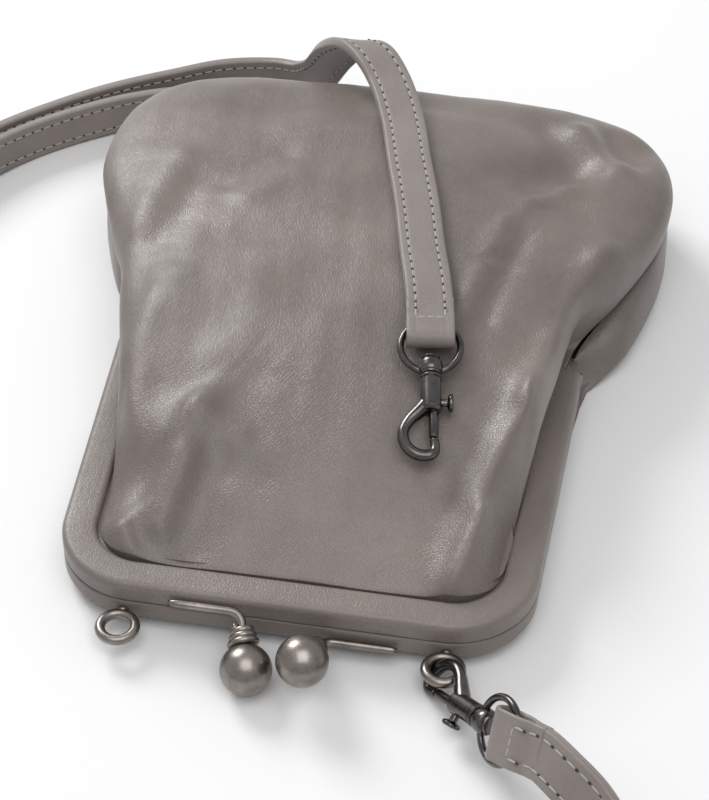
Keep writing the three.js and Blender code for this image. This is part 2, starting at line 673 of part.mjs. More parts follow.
// The folded end of a strap: an eye across its width that holds the swivel ring's far side.
function strapLoop(station) {
  const eye = loopEye / 2;
  const outer = eye + loopWall;
  const half = strapThickness / 2;
  const outline = new THREE.Shape();
  outline.moveTo(-fitGap, -half);
  outline.lineTo(loopEyeStart, -outer);
  outline.lineTo(loopLength - outer, -outer);
  outline.absarc(loopLength - outer, 0, outer, -Math.PI / 2, Math.PI / 2, false);
  outline.lineTo(loopEyeStart, outer);
  outline.lineTo(-fitGap, half);
  outline.closePath();
  const hole = new THREE.Path();
  hole.moveTo(loopEyeStart - eye, 0);
  hole.lineTo(loopEyeStart, eye);
  hole.lineTo(loopLength - outer, eye);
  hole.absarc(loopLength - outer, 0, eye, Math.PI / 2, -Math.PI / 2, true);
  hole.lineTo(loopEyeStart, -eye);
  hole.closePath();
  outline.holes.push(hole);
  const loop = new THREE.ExtrudeGeometry(outline, { depth: strapWidth, bevelEnabled: false, curveSegments: 5 });
  loop.translate(0, 0, -strapWidth / 2);
  const away = station.along.clone().negate();
  const basis = new THREE.Matrix4().makeBasis(away, station.rise, new THREE.Vector3().crossVectors(away, station.rise));
  loop.applyMatrix4(basis.setPosition(station.place));
  return loop;
}

function strap(start, route, steps) {
  const stations = strapStations(start, route, steps);
  return joined(carry(strapOutline, stations), strapLoop(stations[0]));
}

// A plain rectangular slide round both straps where they meet.
function strapSlide(place, along) {
  const side = 1.6;
  const length = 9;
  const innerLong = strapWidth + 2 * fitGap;
  const innerDeep = 2 * strapThickness + 4 * fitGap + 2;
  const outline = new THREE.Shape();
  const [x, y] = [innerDeep / 2 + side, innerLong / 2 + side];
  outline.moveTo(-x, -y).lineTo(x, -y).lineTo(x, y).lineTo(-x, y).closePath();
  const hole = new THREE.Path();
  hole.moveTo(-innerDeep / 2, -innerLong / 2).lineTo(-innerDeep / 2, innerLong / 2);
  hole.lineTo(innerDeep / 2, innerLong / 2).lineTo(innerDeep / 2, -innerLong / 2).closePath();
  outline.holes.push(hole);
  const slide = new THREE.ExtrudeGeometry(outline, { depth: length, bevelEnabled: false });
  slide.translate(0, 0, -length / 2);
  const across = new THREE.Vector3().crossVectors(up, along).normalize();
  slide.applyMatrix4(new THREE.Matrix4().makeBasis(across, up, along).setPosition(place));
  return slide;
}

const bag = new THREE.Group();

function add(name, shape, finish, matrix) {
  const geometry = shape instanceof wasm.Manifold ? geometryOf(shape) : geometryOf(solidOf(shape));
  const mesh = new THREE.Mesh(geometry, materialOf(finish));
  mesh.name = name;
  if (matrix) {
    mesh.applyMatrix4(matrix);
  }
  bag.add(mesh);
}

add('pouch', pouch(), 'pouchLeather');
add('frame_front', frameHalf(1), 'frameLeather');
add('frame_back', frameHalf(-1), 'frameLeather');

[['hinge_right', 1], ['hinge_left', -1]].forEach(([name, side]) => {
  const end = frameEdge(1, 1, 1, frameReach)[0];
  const place = new THREE.Vector3(
    side * (end.x - (frameBand / 2) * end.outX + (hingeBarrelDiameter / 2 + fitGap) * Math.sin(flare)),
    end.y - (frameBand / 2) * end.outY + (hingeBarrelDiameter / 2 + fitGap) * Math.cos(flare),
    seamHeight,
  );
  const matrix = new THREE.Matrix4().makeRotationZ(-side * (Math.PI / 2 + flare)).setPosition(place);
  add(name, hingePin(), 'nickel', matrix);
});

[['ring_left', -1], ['ring_right', 1]].forEach(([name, side]) => {
  const seat = new THREE.Vector3((side * ringSpread) / 2, -fitGap, seamHeight - frameHalfThickness / 2);
  const tilt = side > 0 ? THREE.MathUtils.degToRad(ringTilt) : 0;
  const matrix = new THREE.Matrix4().makeRotationX(tilt).setPosition(seat);
  add(name, strapRing(), 'nickel', matrix);
});

const frontBall = new THREE.Vector3(-6.7, -15, ballDiameter / 2 + 0.3);
const backBall = new THREE.Vector3(7.7, -15, ballDiameter / 2 + 6.6);
add('clasp_front', clasp(-1, frontBall, seamHeight + 0.55 * frameHalfThickness, 10.6), 'nickel');
add('clasp_back', clasp(1, backBall, seamHeight - 0.55 * frameHalfThickness, 10.6), 'nickel');

[['free_hook', freeHook, freeHook], ['ring_hook', ringHook, ringHookSwivel]].forEach(([name, pose, ringPose]) => {
  add(`${name}_ring`, swivelRing(), 'gunmetal', matrixOf(ringPose));
  add(`${name}_body`, hookBody(), 'gunmetal', matrixOf(pose));
  add(`${name}_bolt`, hookBolt(), 'gunmetal', matrixOf(pose));
});

add('strap_short', strap(strapStart(freeHook, freeLoopTilt), shortRoute, 46), 'strapLeather');
add('strap_long', strap(strapStart(ringHookSwivel, ringLoopTilt), longRoute, 70), 'strapLeather');
add('strap_slide', strapSlide(
  new THREE.Vector3(-1.72 * pouchHalfWidth, 0.735 * pouchLength, 0.215 * pouchDepth),
  new THREE.Vector3(0.5, 0.86, 0).normalize(),
), 'nickel');

// The origin goes to the middle of the whole thing, on the surface that it lies on.
const box = new THREE.Box3().setFromObject(bag, true);
const middle = box.getCenter(new THREE.Vector3()).setZ(box.min.z);
bag.children.forEach((mesh) => mesh.position.sub(middle));

export default bag;
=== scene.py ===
import bmesh
import bpy
import numpy as np
from mathutils import Matrix, Vector


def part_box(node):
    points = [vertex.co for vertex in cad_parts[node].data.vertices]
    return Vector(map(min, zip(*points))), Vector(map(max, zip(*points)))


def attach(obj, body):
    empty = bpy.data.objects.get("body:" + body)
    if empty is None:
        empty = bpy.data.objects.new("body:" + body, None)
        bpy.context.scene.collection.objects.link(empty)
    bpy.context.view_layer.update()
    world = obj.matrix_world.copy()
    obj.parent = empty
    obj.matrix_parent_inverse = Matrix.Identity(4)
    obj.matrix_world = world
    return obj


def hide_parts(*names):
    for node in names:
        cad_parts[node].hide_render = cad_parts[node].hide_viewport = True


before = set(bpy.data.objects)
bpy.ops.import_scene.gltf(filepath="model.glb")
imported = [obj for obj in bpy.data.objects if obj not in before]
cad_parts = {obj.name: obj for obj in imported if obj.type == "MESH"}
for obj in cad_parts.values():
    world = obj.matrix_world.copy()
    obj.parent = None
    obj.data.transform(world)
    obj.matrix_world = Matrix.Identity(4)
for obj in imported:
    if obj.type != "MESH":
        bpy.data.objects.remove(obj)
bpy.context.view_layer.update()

mm = 0.001
frontLow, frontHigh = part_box("frame_front")
placeOfBar = np.array([(frontLow.x + frontHigh.x) / 2, frontLow.y, 0.0])  # middle of the frame's outer edge


# Small helpers for surfaces on a grid

# Cubic through the rows of a table: value and slope at each row, slope from its two neighbours.
def smoothTable(rows, t):
    rows = np.asarray(rows, float)
    place = np.clip(np.asarray(t, float), 0, 1) * (len(rows) - 1)
    k = np.minimum(place.astype(int), len(rows) - 2)
    f = (place - k)[..., None]
    here, after = rows[k], rows[k + 1]
    leave = (after - rows[np.maximum(k - 1, 0)]) / 2
    arrive = (rows[np.minimum(k + 2, len(rows) - 1)] - here) / 2
    cubic = (2 * here - 2 * after + leave + arrive) * f**3
    return cubic + (3 * after - 3 * here - 2 * leave - arrive) * f**2 + leave * f + here


# 3 s squared minus 2 s cubed, s running from 0 at low to 1 at high.
def smoothStep(x, low, high):
    s = np.clip((np.asarray(x, float) - low) / (high - low), 0, 1)
    return s * s * (3 - 2 * s)


def unit(vectors):
    return vectors / np.maximum(np.linalg.norm(vectors, axis=-1, keepdims=True), 1e-9)


# Closed outline with each corner cut to an arc: a quadratic curve between points one radius away.
def roundedLoop(corners, radii, steps=5):
    corners = np.asarray(corners, float)
    before, after = np.roll(corners, 1, 0), np.roll(corners, -1, 0)
    reach = np.asarray(radii, float)[:, None]
    start = corners + unit(before - corners) * reach
    end = corners + unit(after - corners) * reach
    s = np.linspace(0, 1, steps)[None, :, None]
    arc = start[:, None] * (1 - s) ** 2 + 2 * corners[:, None] * s * (1 - s) + end[:, None] * s**2
    return arc.reshape(-1, 2)


def roundLoop(radius, sides):
    angle = np.linspace(0, 2 * np.pi, sides, endpoint=False)
    return np.stack([radius * np.cos(angle), radius * np.sin(angle)], 1)


# Quads of a grid whose point (r, c) has number r * columns + c.
def gridFaces(rows, columns, closedColumns=True, closedRows=False):
    r = np.arange(rows if closedRows else rows - 1)[:, None]
    c = np.arange(columns if closedColumns else columns - 1)[None, :]
    nextRow, nextColumn = (r + 1) % rows, (c + 1) % columns
    here, above = r * columns, nextRow * columns
    quads = [here + c, here + nextColumn, above + nextColumn, above + c]
    return np.stack(np.broadcast_arrays(*quads), -1).reshape(-1, 4)


# Makes an object from points in millimetres round the middle of the bar, and puts it on its body.
def newPiece(name, points, faces, body, material, replaced=()):
    mesh = bpy.data.meshes.new(name)
    places = np.asarray(points, float).reshape(-1, 3) * mm + placeOfBar
    mesh.from_pydata(places.tolist(), [], [list(map(int, face)) for face in faces])
    mesh.validate()
    shape = bmesh.new()
    shape.from_mesh(mesh)
    bmesh.ops.recalc_face_normals(shape, faces=shape.faces)
    shape.to_mesh(mesh)
    shape.free()
    mesh.shade_smooth()
    piece = bpy.data.objects.new(name, mesh)
    bpy.context.scene.collection.objects.link(piece)
    mesh.materials.append(material)
    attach(piece, body)
    if replaced:
        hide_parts(*replaced)
    return piece


# Joins several point and face lists into one, shifting the numbers of the later ones.
def shells(*parts):
    points, faces, count = [], [], 0
    for partPoints, partFaces in parts:
        flat = np.asarray(partPoints, float).reshape(-1, 3)
        points.append(flat)
        faces += [[int(v) + count for v in face] for face in partFaces]
        count += len(flat)
    return np.concatenate(points), faces


# Outline (a, b) carried along places: place + a * across + b * rise, times the size there.
def sweep(outline, places, across, rise, size=1.0, closed=False):
    size = np.broadcast_to(np.asarray(size, float), (len(places),))[:, None, None]
    outline = np.asarray(outline, float)
    flat = outline if outline.ndim == 3 else np.broadcast_to(outline, (len(places),) + outline.shape)
    grid = places[:, None] + size * (flat[..., :1] * across[:, None] + flat[..., 1:] * rise[:, None])
    sides = grid.shape[1]
    faces = gridFaces(len(places), sides, True, closed).tolist()
    if closed:
        return grid, faces
    first, last = list(range(sides))[::-1], [(len(places) - 1) * sides + i for i in range(sides)]
    return grid, faces + [first, last]


# Profile of (along, radius) turned round the first axis; both ends lie on the axis.
def turned(profile, sides=48, offset=0.0):
    profile = np.asarray(profile, float)
    angle = np.linspace(0, 2 * np.pi, sides, endpoint=False)
    ring = profile[1:-1]
    grid = np.stack([
        np.broadcast_to(ring[:, :1], (len(ring), sides)),
        ring[:, 1:] * np.cos(angle) + offset,
        ring[:, 1:] * np.sin(angle),
    ], -1)
    poles = [[profile[0, 0], offset, 0], [profile[-1, 0], offset, 0]]
    points = np.concatenate([grid.reshape(-1, 3), poles])
    faces = gridFaces(len(ring), sides).tolist()
    start, end, last = len(points) - 2, len(points) - 1, (len(ring) - 1) * sides
    for i in range(sides):
        j = (i + 1) % sides
        faces += [[start, j, i], [end, last + i, last + j]]
    return points, faces


# Lathe profile with its inner corners rounded, the first and last rows staying on the axis.
def softProfile(rows, radius, steps=4):
    rows = np.asarray(rows, float)
    middle = rows[1:-1]
    before, after = rows[:-2], rows[2:]
    near = np.minimum(radius, 0.45 * np.linalg.norm(middle - before, axis=1))[:, None]
    far = np.minimum(radius, 0.45 * np.linalg.norm(after - middle, axis=1))[:, None]
    start, end = middle + unit(before - middle) * near, middle + unit(after - middle) * far
    s = np.linspace(0, 1, steps)[None, :, None]
    arc = start[:, None] * (1 - s) ** 2 + 2 * middle[:, None] * s * (1 - s) + end[:, None] * s**2
    return np.concatenate([rows[:1], arc.reshape(-1, 2), rows[-1:]])


# Torus round the third axis: (middle + wire cos b) at angle a, wire sin b up.
def ringShape(middle, wire, around=72, sides=24):
    a = np.linspace(0, 2 * np.pi, around, endpoint=False)[:, None]
    b = np.linspace(0, 2 * np.pi, sides, endpoint=False)[None, :]
    reach = middle + wire * np.cos(b)
    grid = np.stack([reach * np.cos(a), reach * np.sin(a), wire * np.sin(b) + 0 * a], -1)
    return grid, gridFaces(around, sides, True, True).tolist()


# Local points put where three axes (rows of basis) and an origin say.
def placed(points, basis, origin):
    return np.asarray(points, float).reshape(-1, 3) @ np.asarray(basis) + np.asarray(origin)


# Materials

leatherLook = {
    "pouch": {"base": (0.182, 0.151, 0.134), "deep": (0.118, 0.097, 0.086), "rough": 0.38, "grain": 1.0},
    "frame": {"base": (0.186, 0.157, 0.141), "deep": (0.138, 0.115, 0.102), "rough": 0.4, "grain": 0.85},
    "strap": {"base": (0.228, 0.196, 0.178), "deep": (0.18, 0.154, 0.139), "rough": 0.44, "grain": 0.7},
}


def newMaterial(name):
    material = bpy.data.materials.new(name)
    material.use_nodes = True
    nodes, links = material.node_tree.nodes, material.node_tree.links
    nodes.clear()
    shader = nodes.new("ShaderNodeBsdfPrincipled")
    output = nodes.new("ShaderNodeOutputMaterial")
    links.new(shader.outputs["BSDF"], output.inputs["Surface"])
    where = nodes.new("ShaderNodeTexCoord")
    return material, nodes, links, shader, where.outputs["Object"]


def noise(nodes, links, where, scale, detail=3.0, rough=0.55, stretch=(1, 1, 1)):
    mapping = nodes.new("ShaderNodeMapping")
    mapping.inputs["Scale"].default_value = stretch
    links.new(where, mapping.inputs["Vector"])
    texture = nodes.new("ShaderNodeTexNoise")
    texture.inputs["Scale"].default_value = scale
    texture.inputs["Detail"].default_value = detail
    texture.inputs["Roughness"].default_value = rough
    links.new(mapping.outputs["Vector"], texture.inputs["Vector"])
    return texture.outputs["Fac"]


def remap(nodes, links, value, low, high, toLow, toHigh):
    node = nodes.new("ShaderNodeMapRange")
    for name, number in (("From Min", low), ("From Max", high), ("To Min", toLow), ("To Max", toHigh)):
        node.inputs[name].default_value = number
    links.new(value, node.inputs["Value"])
    return node.outputs["Result"]


def mixColour(nodes, links, factor, first, second):
    node = nodes.new("ShaderNodeMix")
    node.data_type = "RGBA"
    for socket, value in ((node.inputs[0], factor), (node.inputs[6], first), (node.inputs[7], second)):
        if isinstance(value, bpy.types.NodeSocket):
            links.new(value, socket)
        elif isinstance(value, tuple):
            socket.default_value = (*value, 1)
        else:
            socket.default_value = value
    return node.outputs[2]


def bump(nodes, links, height, distance, strength, below=None):
    node = nodes.new("ShaderNodeBump")
    node.inputs["Distance"].default_value = distance
    node.inputs["Strength"].default_value = strength
    links.new(height, node.inputs["Height"])
    if below is not None:
        links.new(below, node.inputs["Normal"])
    return node.outputs["Normal"]


# Fine pebbled grain over soft creases, with a tone that drifts over centimetres.
def leather(name, look):
    material, nodes, links, shader, where = newMaterial(name)
    drift = noise(nodes, links, where, 24, 4, 0.6)
    cloud = remap(nodes, links, drift, 0.34, 0.68, 0, 1)
    tone = mixColour(nodes, links, cloud, look["deep"], look["base"])
    speck = noise(nodes, links, where, 900, 2, 0.6)
    fine = remap(nodes, links, speck, 0.35, 0.7, 0, 0.16)
    light = tuple(min(1.0, channel * 1.35) for channel in look["base"])
    links.new(mixColour(nodes, links, fine, tone, light), shader.inputs["Base Color"])
    cells = nodes.new("ShaderNodeTexVoronoi")
    cells.feature = "DISTANCE_TO_EDGE"
    cells.inputs["Scale"].default_value = 1250
    links.new(where, cells.inputs["Vector"])
    pebble = remap(nodes, links, cells.outputs["Distance"], 0.0, 0.16, 0, 1)
    crease = noise(nodes, links, where, 210, 5, 0.62, (1, 0.7, 1))
    soft = bump(nodes, links, crease, 0.0008, 0.3 * look["grain"])
    links.new(bump(nodes, links, pebble, 0.00006, 0.6 * look["grain"], soft), shader.inputs["Normal"])
    gloss = remap(nodes, links, drift, 0.3, 0.7, look["rough"] + 0.06, look["rough"] - 0.05)
    links.new(gloss, shader.inputs["Roughness"])
    shader.inputs["Specular IOR Level"].default_value = 0.65
    shader.inputs["Sheen Weight"].default_value = 0.06
    shader.inputs["Sheen Roughness"].default_value = 0.4
    return material


# Aged plating: a darker film in patches, fine scuffs in the gloss.
def metal(name, base, dark, rough, wear, scale):
    material, nodes, links, shader, where = newMaterial(name)
    film = remap(nodes, links, noise(nodes, links, where, scale, 5, 0.65), 0.35, 0.7, 0, 1)
    links.new(mixColour(nodes, links, film, base, dark), shader.inputs["Base Color"])
    scuff = noise(nodes, links, where, scale * 9, 3, 0.6, (1, 1, 2.5))
    links.new(remap(nodes, links, scuff, 0.3, 0.75, rough - wear, rough + wear), shader.inputs["Roughness"])
    links.new(bump(nodes, links, scuff, 0.00003, 0.25), shader.inputs["Normal"])
    shader.inputs["Metallic"].default_value = 1.0
    return material


# Twisted thread: a little fuzz in the colour and in the bump.
def thread(name, colour):
    material, nodes, links, shader, where = newMaterial(name)
    fuzz = noise(nodes, links, where, 2600, 2, 0.5)
    paler = tuple(channel * 1.3 for channel in colour)
    links.new(mixColour(nodes, links, fuzz, colour, paler), shader.inputs["Base Color"])
    links.new(bump(nodes, links, fuzz, 0.00008, 0.5), shader.inputs["Normal"])
    shader.inputs["Roughness"].default_value = 0.8
    return material


pouchLeather = leather("pouchLeather", leatherLook["pouch"])
frameLeather = leather("frameLeather", leatherLook["frame"])
strapLeather = leather("strapLeather", leatherLook["strap"])
agedNickel = metal("agedNickel", (0.34, 0.305, 0.277), (0.2, 0.178, 0.161), 0.33, 0.06, 160)
gunmetal = metal("gunmetal", (0.15, 0.14, 0.132), (0.07, 0.066, 0.063), 0.22, 0.06, 190)
stitchThread = thread("stitchThread", (0.33, 0.31, 0.285))
# Near-black painted shade of the stitch holes, set on small capsules at each stitch's end
holeShade = thread("holeShade", (0.03, 0.027, 0.025))
print("materials done")


# Frame: sizes shared by the pouch, the frame and what is fixed to it

frameSize = {
    "width": 126.0, "reach": 102.5, "corner": 22.6, "band": 9.1, "halfThickness": 6.2,
    "flareDegrees": 2.5, "lift": 3.0, "seamGap": 0.3, "grooveDepth": 3.6, "fit": 0.3,
}
flare = np.radians(frameSize["flareDegrees"])
seamHeight = frameSize["lift"] + frameSize["halfThickness"] + frameSize["seamGap"] / 2


# Outer edge from the right arm's end to the left one's: straight, quarter circle, straight, mirrored.
# Columns are x, y and the direction that faces out.
def frameEdge(armSteps, cornerSteps, barSteps):
    corner, centre = frameSize["corner"], frameSize["width"] / 2 - frameSize["corner"]
    start = np.array([centre + corner * np.cos(flare), corner * (1 - np.sin(flare))])
    along = (frameSize["reach"] - start[1]) / np.cos(flare) * (1 - np.arange(armSteps) / armSteps)
    level = np.ones_like(along)
    arm = np.stack([start[0] + along * np.sin(flare), start[1] + along * np.cos(flare),
                    level * np.cos(flare), -level * np.sin(flare)], 1)
    angle = np.linspace(-flare, -np.pi / 2, cornerSteps + 1)
    bend = np.stack([centre + corner * np.cos(angle), corner * (1 + np.sin(angle)),
                     np.cos(angle), np.sin(angle)], 1)
    across = centre * (1 - np.arange(1, barSteps) / barSteps)
    bar = np.stack([across, 0 * across, 0 * across, 0 * across - 1], 1)
    half = np.concatenate([arm, bend, bar])
    return np.concatenate([half, [[0, 0, 0, -1]], half[::-1] * [-1, 1, -1, 1]])


# Pouch

pouchSize = {
    "length": 207.0, "halfWidth": 85.0, "depth": 41.0, "wall": 1.6, "panelSpread": 6.5,
    "ribsOnArm": 44, "ribsOnCorner": 20, "ribsOnBar": 22, "ribsOnSide": 78, "frontRows": 92, "backRows": 42,
}
# Front panel's crown along the bag: share of the length, share of the depth
crown = np.array([
    (0.04, 0.37), (0.1, 0.5), (0.17, 0.645), (0.24, 0.78), (0.31, 0.88), (0.39, 0.95),
    (0.5, 1.0), (0.62, 1.0), (0.75, 0.985), (0.85, 0.955), (0.93, 0.915), (1.0, 0.85),
])
# Large folds that the solid has too: ends in shares, width and height as shares of the depth
largeFolds = [
    ((0.52, 0.07), (0.66, 0.33), 0.17, 0.1),
    ((0.66, 0.33), (0.84, 0.62), 0.15, 0.08),
    ((-0.62, 0.16), (-0.4, 0.4), 0.2, -0.02),
    ((-0.5, 0.12), (-0.36, 0.26), 0.12, 0.07),
    ((0.55, 0.78), (0.86, 0.9), 0.2, -0.09),
]
# Smaller folds and dents in millimetres: from, to, width, height
smallFolds = [
    ((40, 10), (47.5, 31), 3.3, 2.6),
    ((47.5, 31), (56, 64), 3.8, 2.2),
    ((56, 64), (61, 92), 4.2, 2.0),
    ((60, 92), (68, 125), 5.5, 1.8),
    ((50, 12), (55.5, 36), 3.2, -1.3),
    ((56, 36), (61, 58), 3.6, -1.2),
    ((33, 26), (44, 62), 6.0, -1.3),
    ((-46, 16), (-42, 9), 3.8, 3.4),
    ((-32, 37), (-36, 18), 3.6, 2.7),
    ((-40, 38), (-43, 26), 3.6, -1.8),
    ((-26, 30), (-28, 15), 4.5, -1.3),
    ((-34, 50), (-20, 43), 3.4, 2.2),
    ((-22, 36), (-12, 34), 4.0, -1.2),
    ((-44, 58), (-22, 60), 6.0, -1.0),
    ((-28, 63), (-13, 57), 2.2, 0.6),
    ((-22, 67), (-8, 60), 1.9, -0.5),
    ((-18, 72), (-4, 66), 1.9, 0.4),
    ((57, 188), (69, 171), 5.0, 2.6),
    ((46, 186), (57, 168), 5.5, -2.2),
    ((66, 190), (75, 178), 4.0, -1.5),
    ((46, 146), (55, 156), 4.2, 2.0),
    ((36, 160), (62, 142), 6.0, -1.6),
    ((40, 136), (37, 121), 2.6, 1.7),
    ((45, 130), (42, 114), 2.8, -1.4),
    ((36, 113), (33, 97), 2.8, 1.6),
    ((41, 110), (39, 92), 2.9, -1.3),
    ((-36, 132), (-24, 146), 3.6, 1.3),
    ((-44, 140), (-30, 156), 4.6, -1.2),
    ((-60, 150), (-66, 120), 6.0, 1.4),
    ((-52, 140), (-57, 112), 5.0, -1.1),
    ((-50, 95), (-58, 70), 6.0, 1.2),
    ((-8, 190), (-48, 184), 8.0, -1.2),
    ((8, 194), (40, 190), 7.0, -1.2),
    ((-30, 170), (0, 176), 6.0, 0.9),
    ((-20, 20), (20, 18), 8.0, -0.7),
    ((-14, 100), (18, 112), 9.0, -0.8),
    ((-40, 112), (-16, 120), 6.0, -0.7),
]


# Sum of ridges: height times e to the minus squared distance from a line over its width.
def foldField(x, y, rows, scale):
    total = np.zeros_like(x)
    for start, end, width, height in rows:
        a, b = np.array(start) * scale[0], np.array(end) * scale[0]
        along = b - a
        share = np.clip(((x - a[0]) * along[0] + (y - a[1]) * along[1]) / (along @ along), 0, 1)
        away = np.hypot(x - a[0] - share * along[0], y - a[1] - share * along[1]) / (width * scale[1])
        total += height * scale[1] * np.exp(-away**2)
    return total


# A few long crossing waves, so that no stretch of leather is dead flat.
def softWaves(x, y):
    return (0.36 * np.sin(x / 9.5 + y / 21 + 0.6) * np.sin(y / 13.0 - x / 31)
            + 0.26 * np.sin(x / 5.7 - y / 8.3 + 1.9) * np.sin(y / 17.0 + x / 12 + 0.4)
            + 0.11 * np.sin(x / 2.9 + y / 3.7) * np.sin(y / 4.9 - x / 3.3 + 2.2))


# Between the arms the leather leaves the frame low: height is held under a plane that rises inward
armFall = {
    "edge": 53.6, "level": 14.6, "slopeLow": (1.5, 0.85), "slopeHigh": (2.6, 3.4),
    "from": 30, "to": 78, "blend": 2.4, "freeHeight": 30,
}


def lowByFrame(x, y, height):
    rise = smoothStep(y, armFall["from"], armFall["to"])
    for side, low, high in zip((1, -1), armFall["slopeLow"], armFall["slopeHigh"]):
        inside = armFall["edge"] + np.maximum(y - frameSize["corner"], 0) * np.tan(flare) - side * x
        plane = armFall["level"] + (low + (high - low) * rise) * np.maximum(inside, 0) + armFall["freeHeight"] * rise
        over = (height - plane) / armFall["blend"]
        height = height - armFall["blend"] * np.logaddexp(0, over)
    return height


def crownHeight(x, y):
    across = x / pouchSize["halfWidth"]
    length, depth = pouchSize["length"], pouchSize["depth"]
    around = np.linspace(-0.03, 0.03, 7)[:, None, None]
    smooth = np.interp(y / length + around, crown[:, 0], crown[:, 1]).mean(0)
    shares = np.array([pouchSize["halfWidth"], length])
    large = foldField(x, y, largeFolds, (shares, depth))
    small = foldField(x, y, smallFolds, (np.ones(2), 1.0))
    return lowByFrame(x, y, depth * smooth * (1 - 0.1 * across**2) + large) + small + softWaves(x, y)


# Swell of the panels along a frame arm, from hinge to the bar: front right, front left, back
armSwell = [
    (0.15, 0.25, 0.42), (0.09, 0.11, 0.32), (0.02, 0.0, 0.12),
    (-0.008, -0.008, 0.0), (-0.008, -0.008, 0.0), (-0.008, -0.008, 0.0),
]
# Side seam from each hinge to the middle of the bottom: x, y, height, grip, front swell, back swell
rightSeam = [
    (0.735, 0.535, 0.25, 0.85, 0.14, 0.37), (0.765, 0.57, 0.31, 0.3, 0.13, 0.28),
    (0.84, 0.615, 0.4, 0, 0.1, 0.2), (0.92, 0.675, 0.47, 0, 0.07, 0.12), (0.985, 0.745, 0.49, 0, 0.04, 0.05),
    (1.0, 0.83, 0.48, 0, 0.03, 0.03), (0.95, 0.91, 0.46, 0, 0.03, 0.03), (0.84, 0.965, 0.45, 0, 0.03, 0.03),
    (0.66, 0.99, 0.45, 0, 0.03, 0.03), (0.34, 0.998, 0.45, 0, 0.03, 0.03), (0, 1, 0.45, 0, 0.03, 0.03),
]
leftSeam = [
    (-0.735, 0.535, 0.25, 0.85, 0.25, 0.1), (-0.765, 0.57, 0.31, 0.3, 0.21, 0.13),
    (-0.83, 0.615, 0.4, 0, 0.13, 0.12), (-0.91, 0.675, 0.46, 0, 0.08, 0.08), (-0.975, 0.745, 0.48, 0, 0.05, 0.05),
    (-0.985, 0.83, 0.48, 0, 0.03, 0.03), (-0.94, 0.91, 0.46, 0, 0.03, 0.03), (-0.83, 0.965, 0.45, 0, 0.03, 0.03),
    (-0.66, 0.99, 0.45, 0, 0.03, 0.03), (-0.34, 0.998, 0.45, 0, 0.03, 0.03), (0, 1, 0.45, 0, 0.03, 0.03),
]
# Ribs from a panel's edge to the middle: reach, swell held, swell sewn, gain held, gain sewn, inward
frontRib = [
    (0, 0, 0, 0, 0, 0), (1, 0, 0.35, 0, 0.08, 0), (1.12, 0, 0.75, 0.06, 0.22, 0), (1.05, 0.55, 1, 0.34, 0.42, 0),
    (1.02, 0.95, 0.95, 0.54, 0.61, 0), (1.02, 0.95, 0.75, 0.76, 0.79, 0.02), (1.02, 0.6, 0.45, 0.91, 0.91, 0.07),
    (1.02, 0.25, 0.2, 0.98, 0.98, 0.18), (1, 0, 0, 1, 1, 0.42), (1, 0, 0, 1, 1, 0.7), (1, 0, 0, 1, 1, 0.985),
]
backRib = [
    (0, 0, 0, 0, 0, 0), (1, 0, 0.4, 0, 0.04, 0), (1.3, 0, 0.8, 0.3, 0.2, 0), (1.6, 0.4, 1, 0.72, 0.5, 0),
    (2, 0.8, 0.9, 0.93, 0.8, 0), (2.6, 0.4, 0.5, 1, 0.97, 0.04), (2.6, 0, 0.1, 1, 1, 0.14), (2, 0, 0, 1, 1, 0.5),
    (2, 0, 0, 1, 1, 0.985),
]
ribMiddle = np.array([0.0, 0.5 * pouchSize["length"]])


# Where each rib starts. Columns: x, y, height, grip, front swell, back swell, outward x and y.
def pouchEdge():
    size, depth = frameSize, pouchSize["depth"]
    held = frameEdge(pouchSize["ribsOnArm"], pouchSize["ribsOnCorner"], pouchSize["ribsOnBar"])
    fromEnd = 1 - np.abs(np.linspace(-1, 1, len(held)))
    swell = smoothTable(armSwell, fromEnd)
    way = smoothStep(held[:, 0], -size["width"] / 6, size["width"] / 6)
    inset = size["band"] - size["grooveDepth"] + size["fit"]
    ones = np.ones(len(held))
    rim = np.stack([held[:, 0] - held[:, 2] * inset, held[:, 1] - held[:, 3] * inset,
                    seamHeight * ones, ones,
                    (swell[:, 1] * (1 - way) + swell[:, 0] * way) * depth, swell[:, 2] * depth * way], 1)
    t = np.linspace(0, 1, pouchSize["ribsOnSide"])
    scale = np.array([pouchSize["halfWidth"], pouchSize["length"], depth, 1, depth, depth])
    left, right = smoothTable(leftSeam, t) * scale, smoothTable(rightSeam, t) * scale
    edge = np.concatenate([rim, left, right[:-1][::-1]])
    edge[:, 3] = np.maximum(edge[:, 3], 0)
    along = np.roll(edge[:, :2], -1, 0) - np.roll(edge[:, :2], 1, 0)
    out = unit(np.stack([-along[:, 1], along[:, 0]], 1))
    spread = np.exp(-(np.arange(-6, 7) / 3.0) ** 2)
    spread /= spread.sum()
    turnedOut = sum(weight * np.roll(out, shift, 0) for shift, weight in zip(range(-6, 7), spread))
    return np.concatenate([edge, unit(turnedOut)], 1)


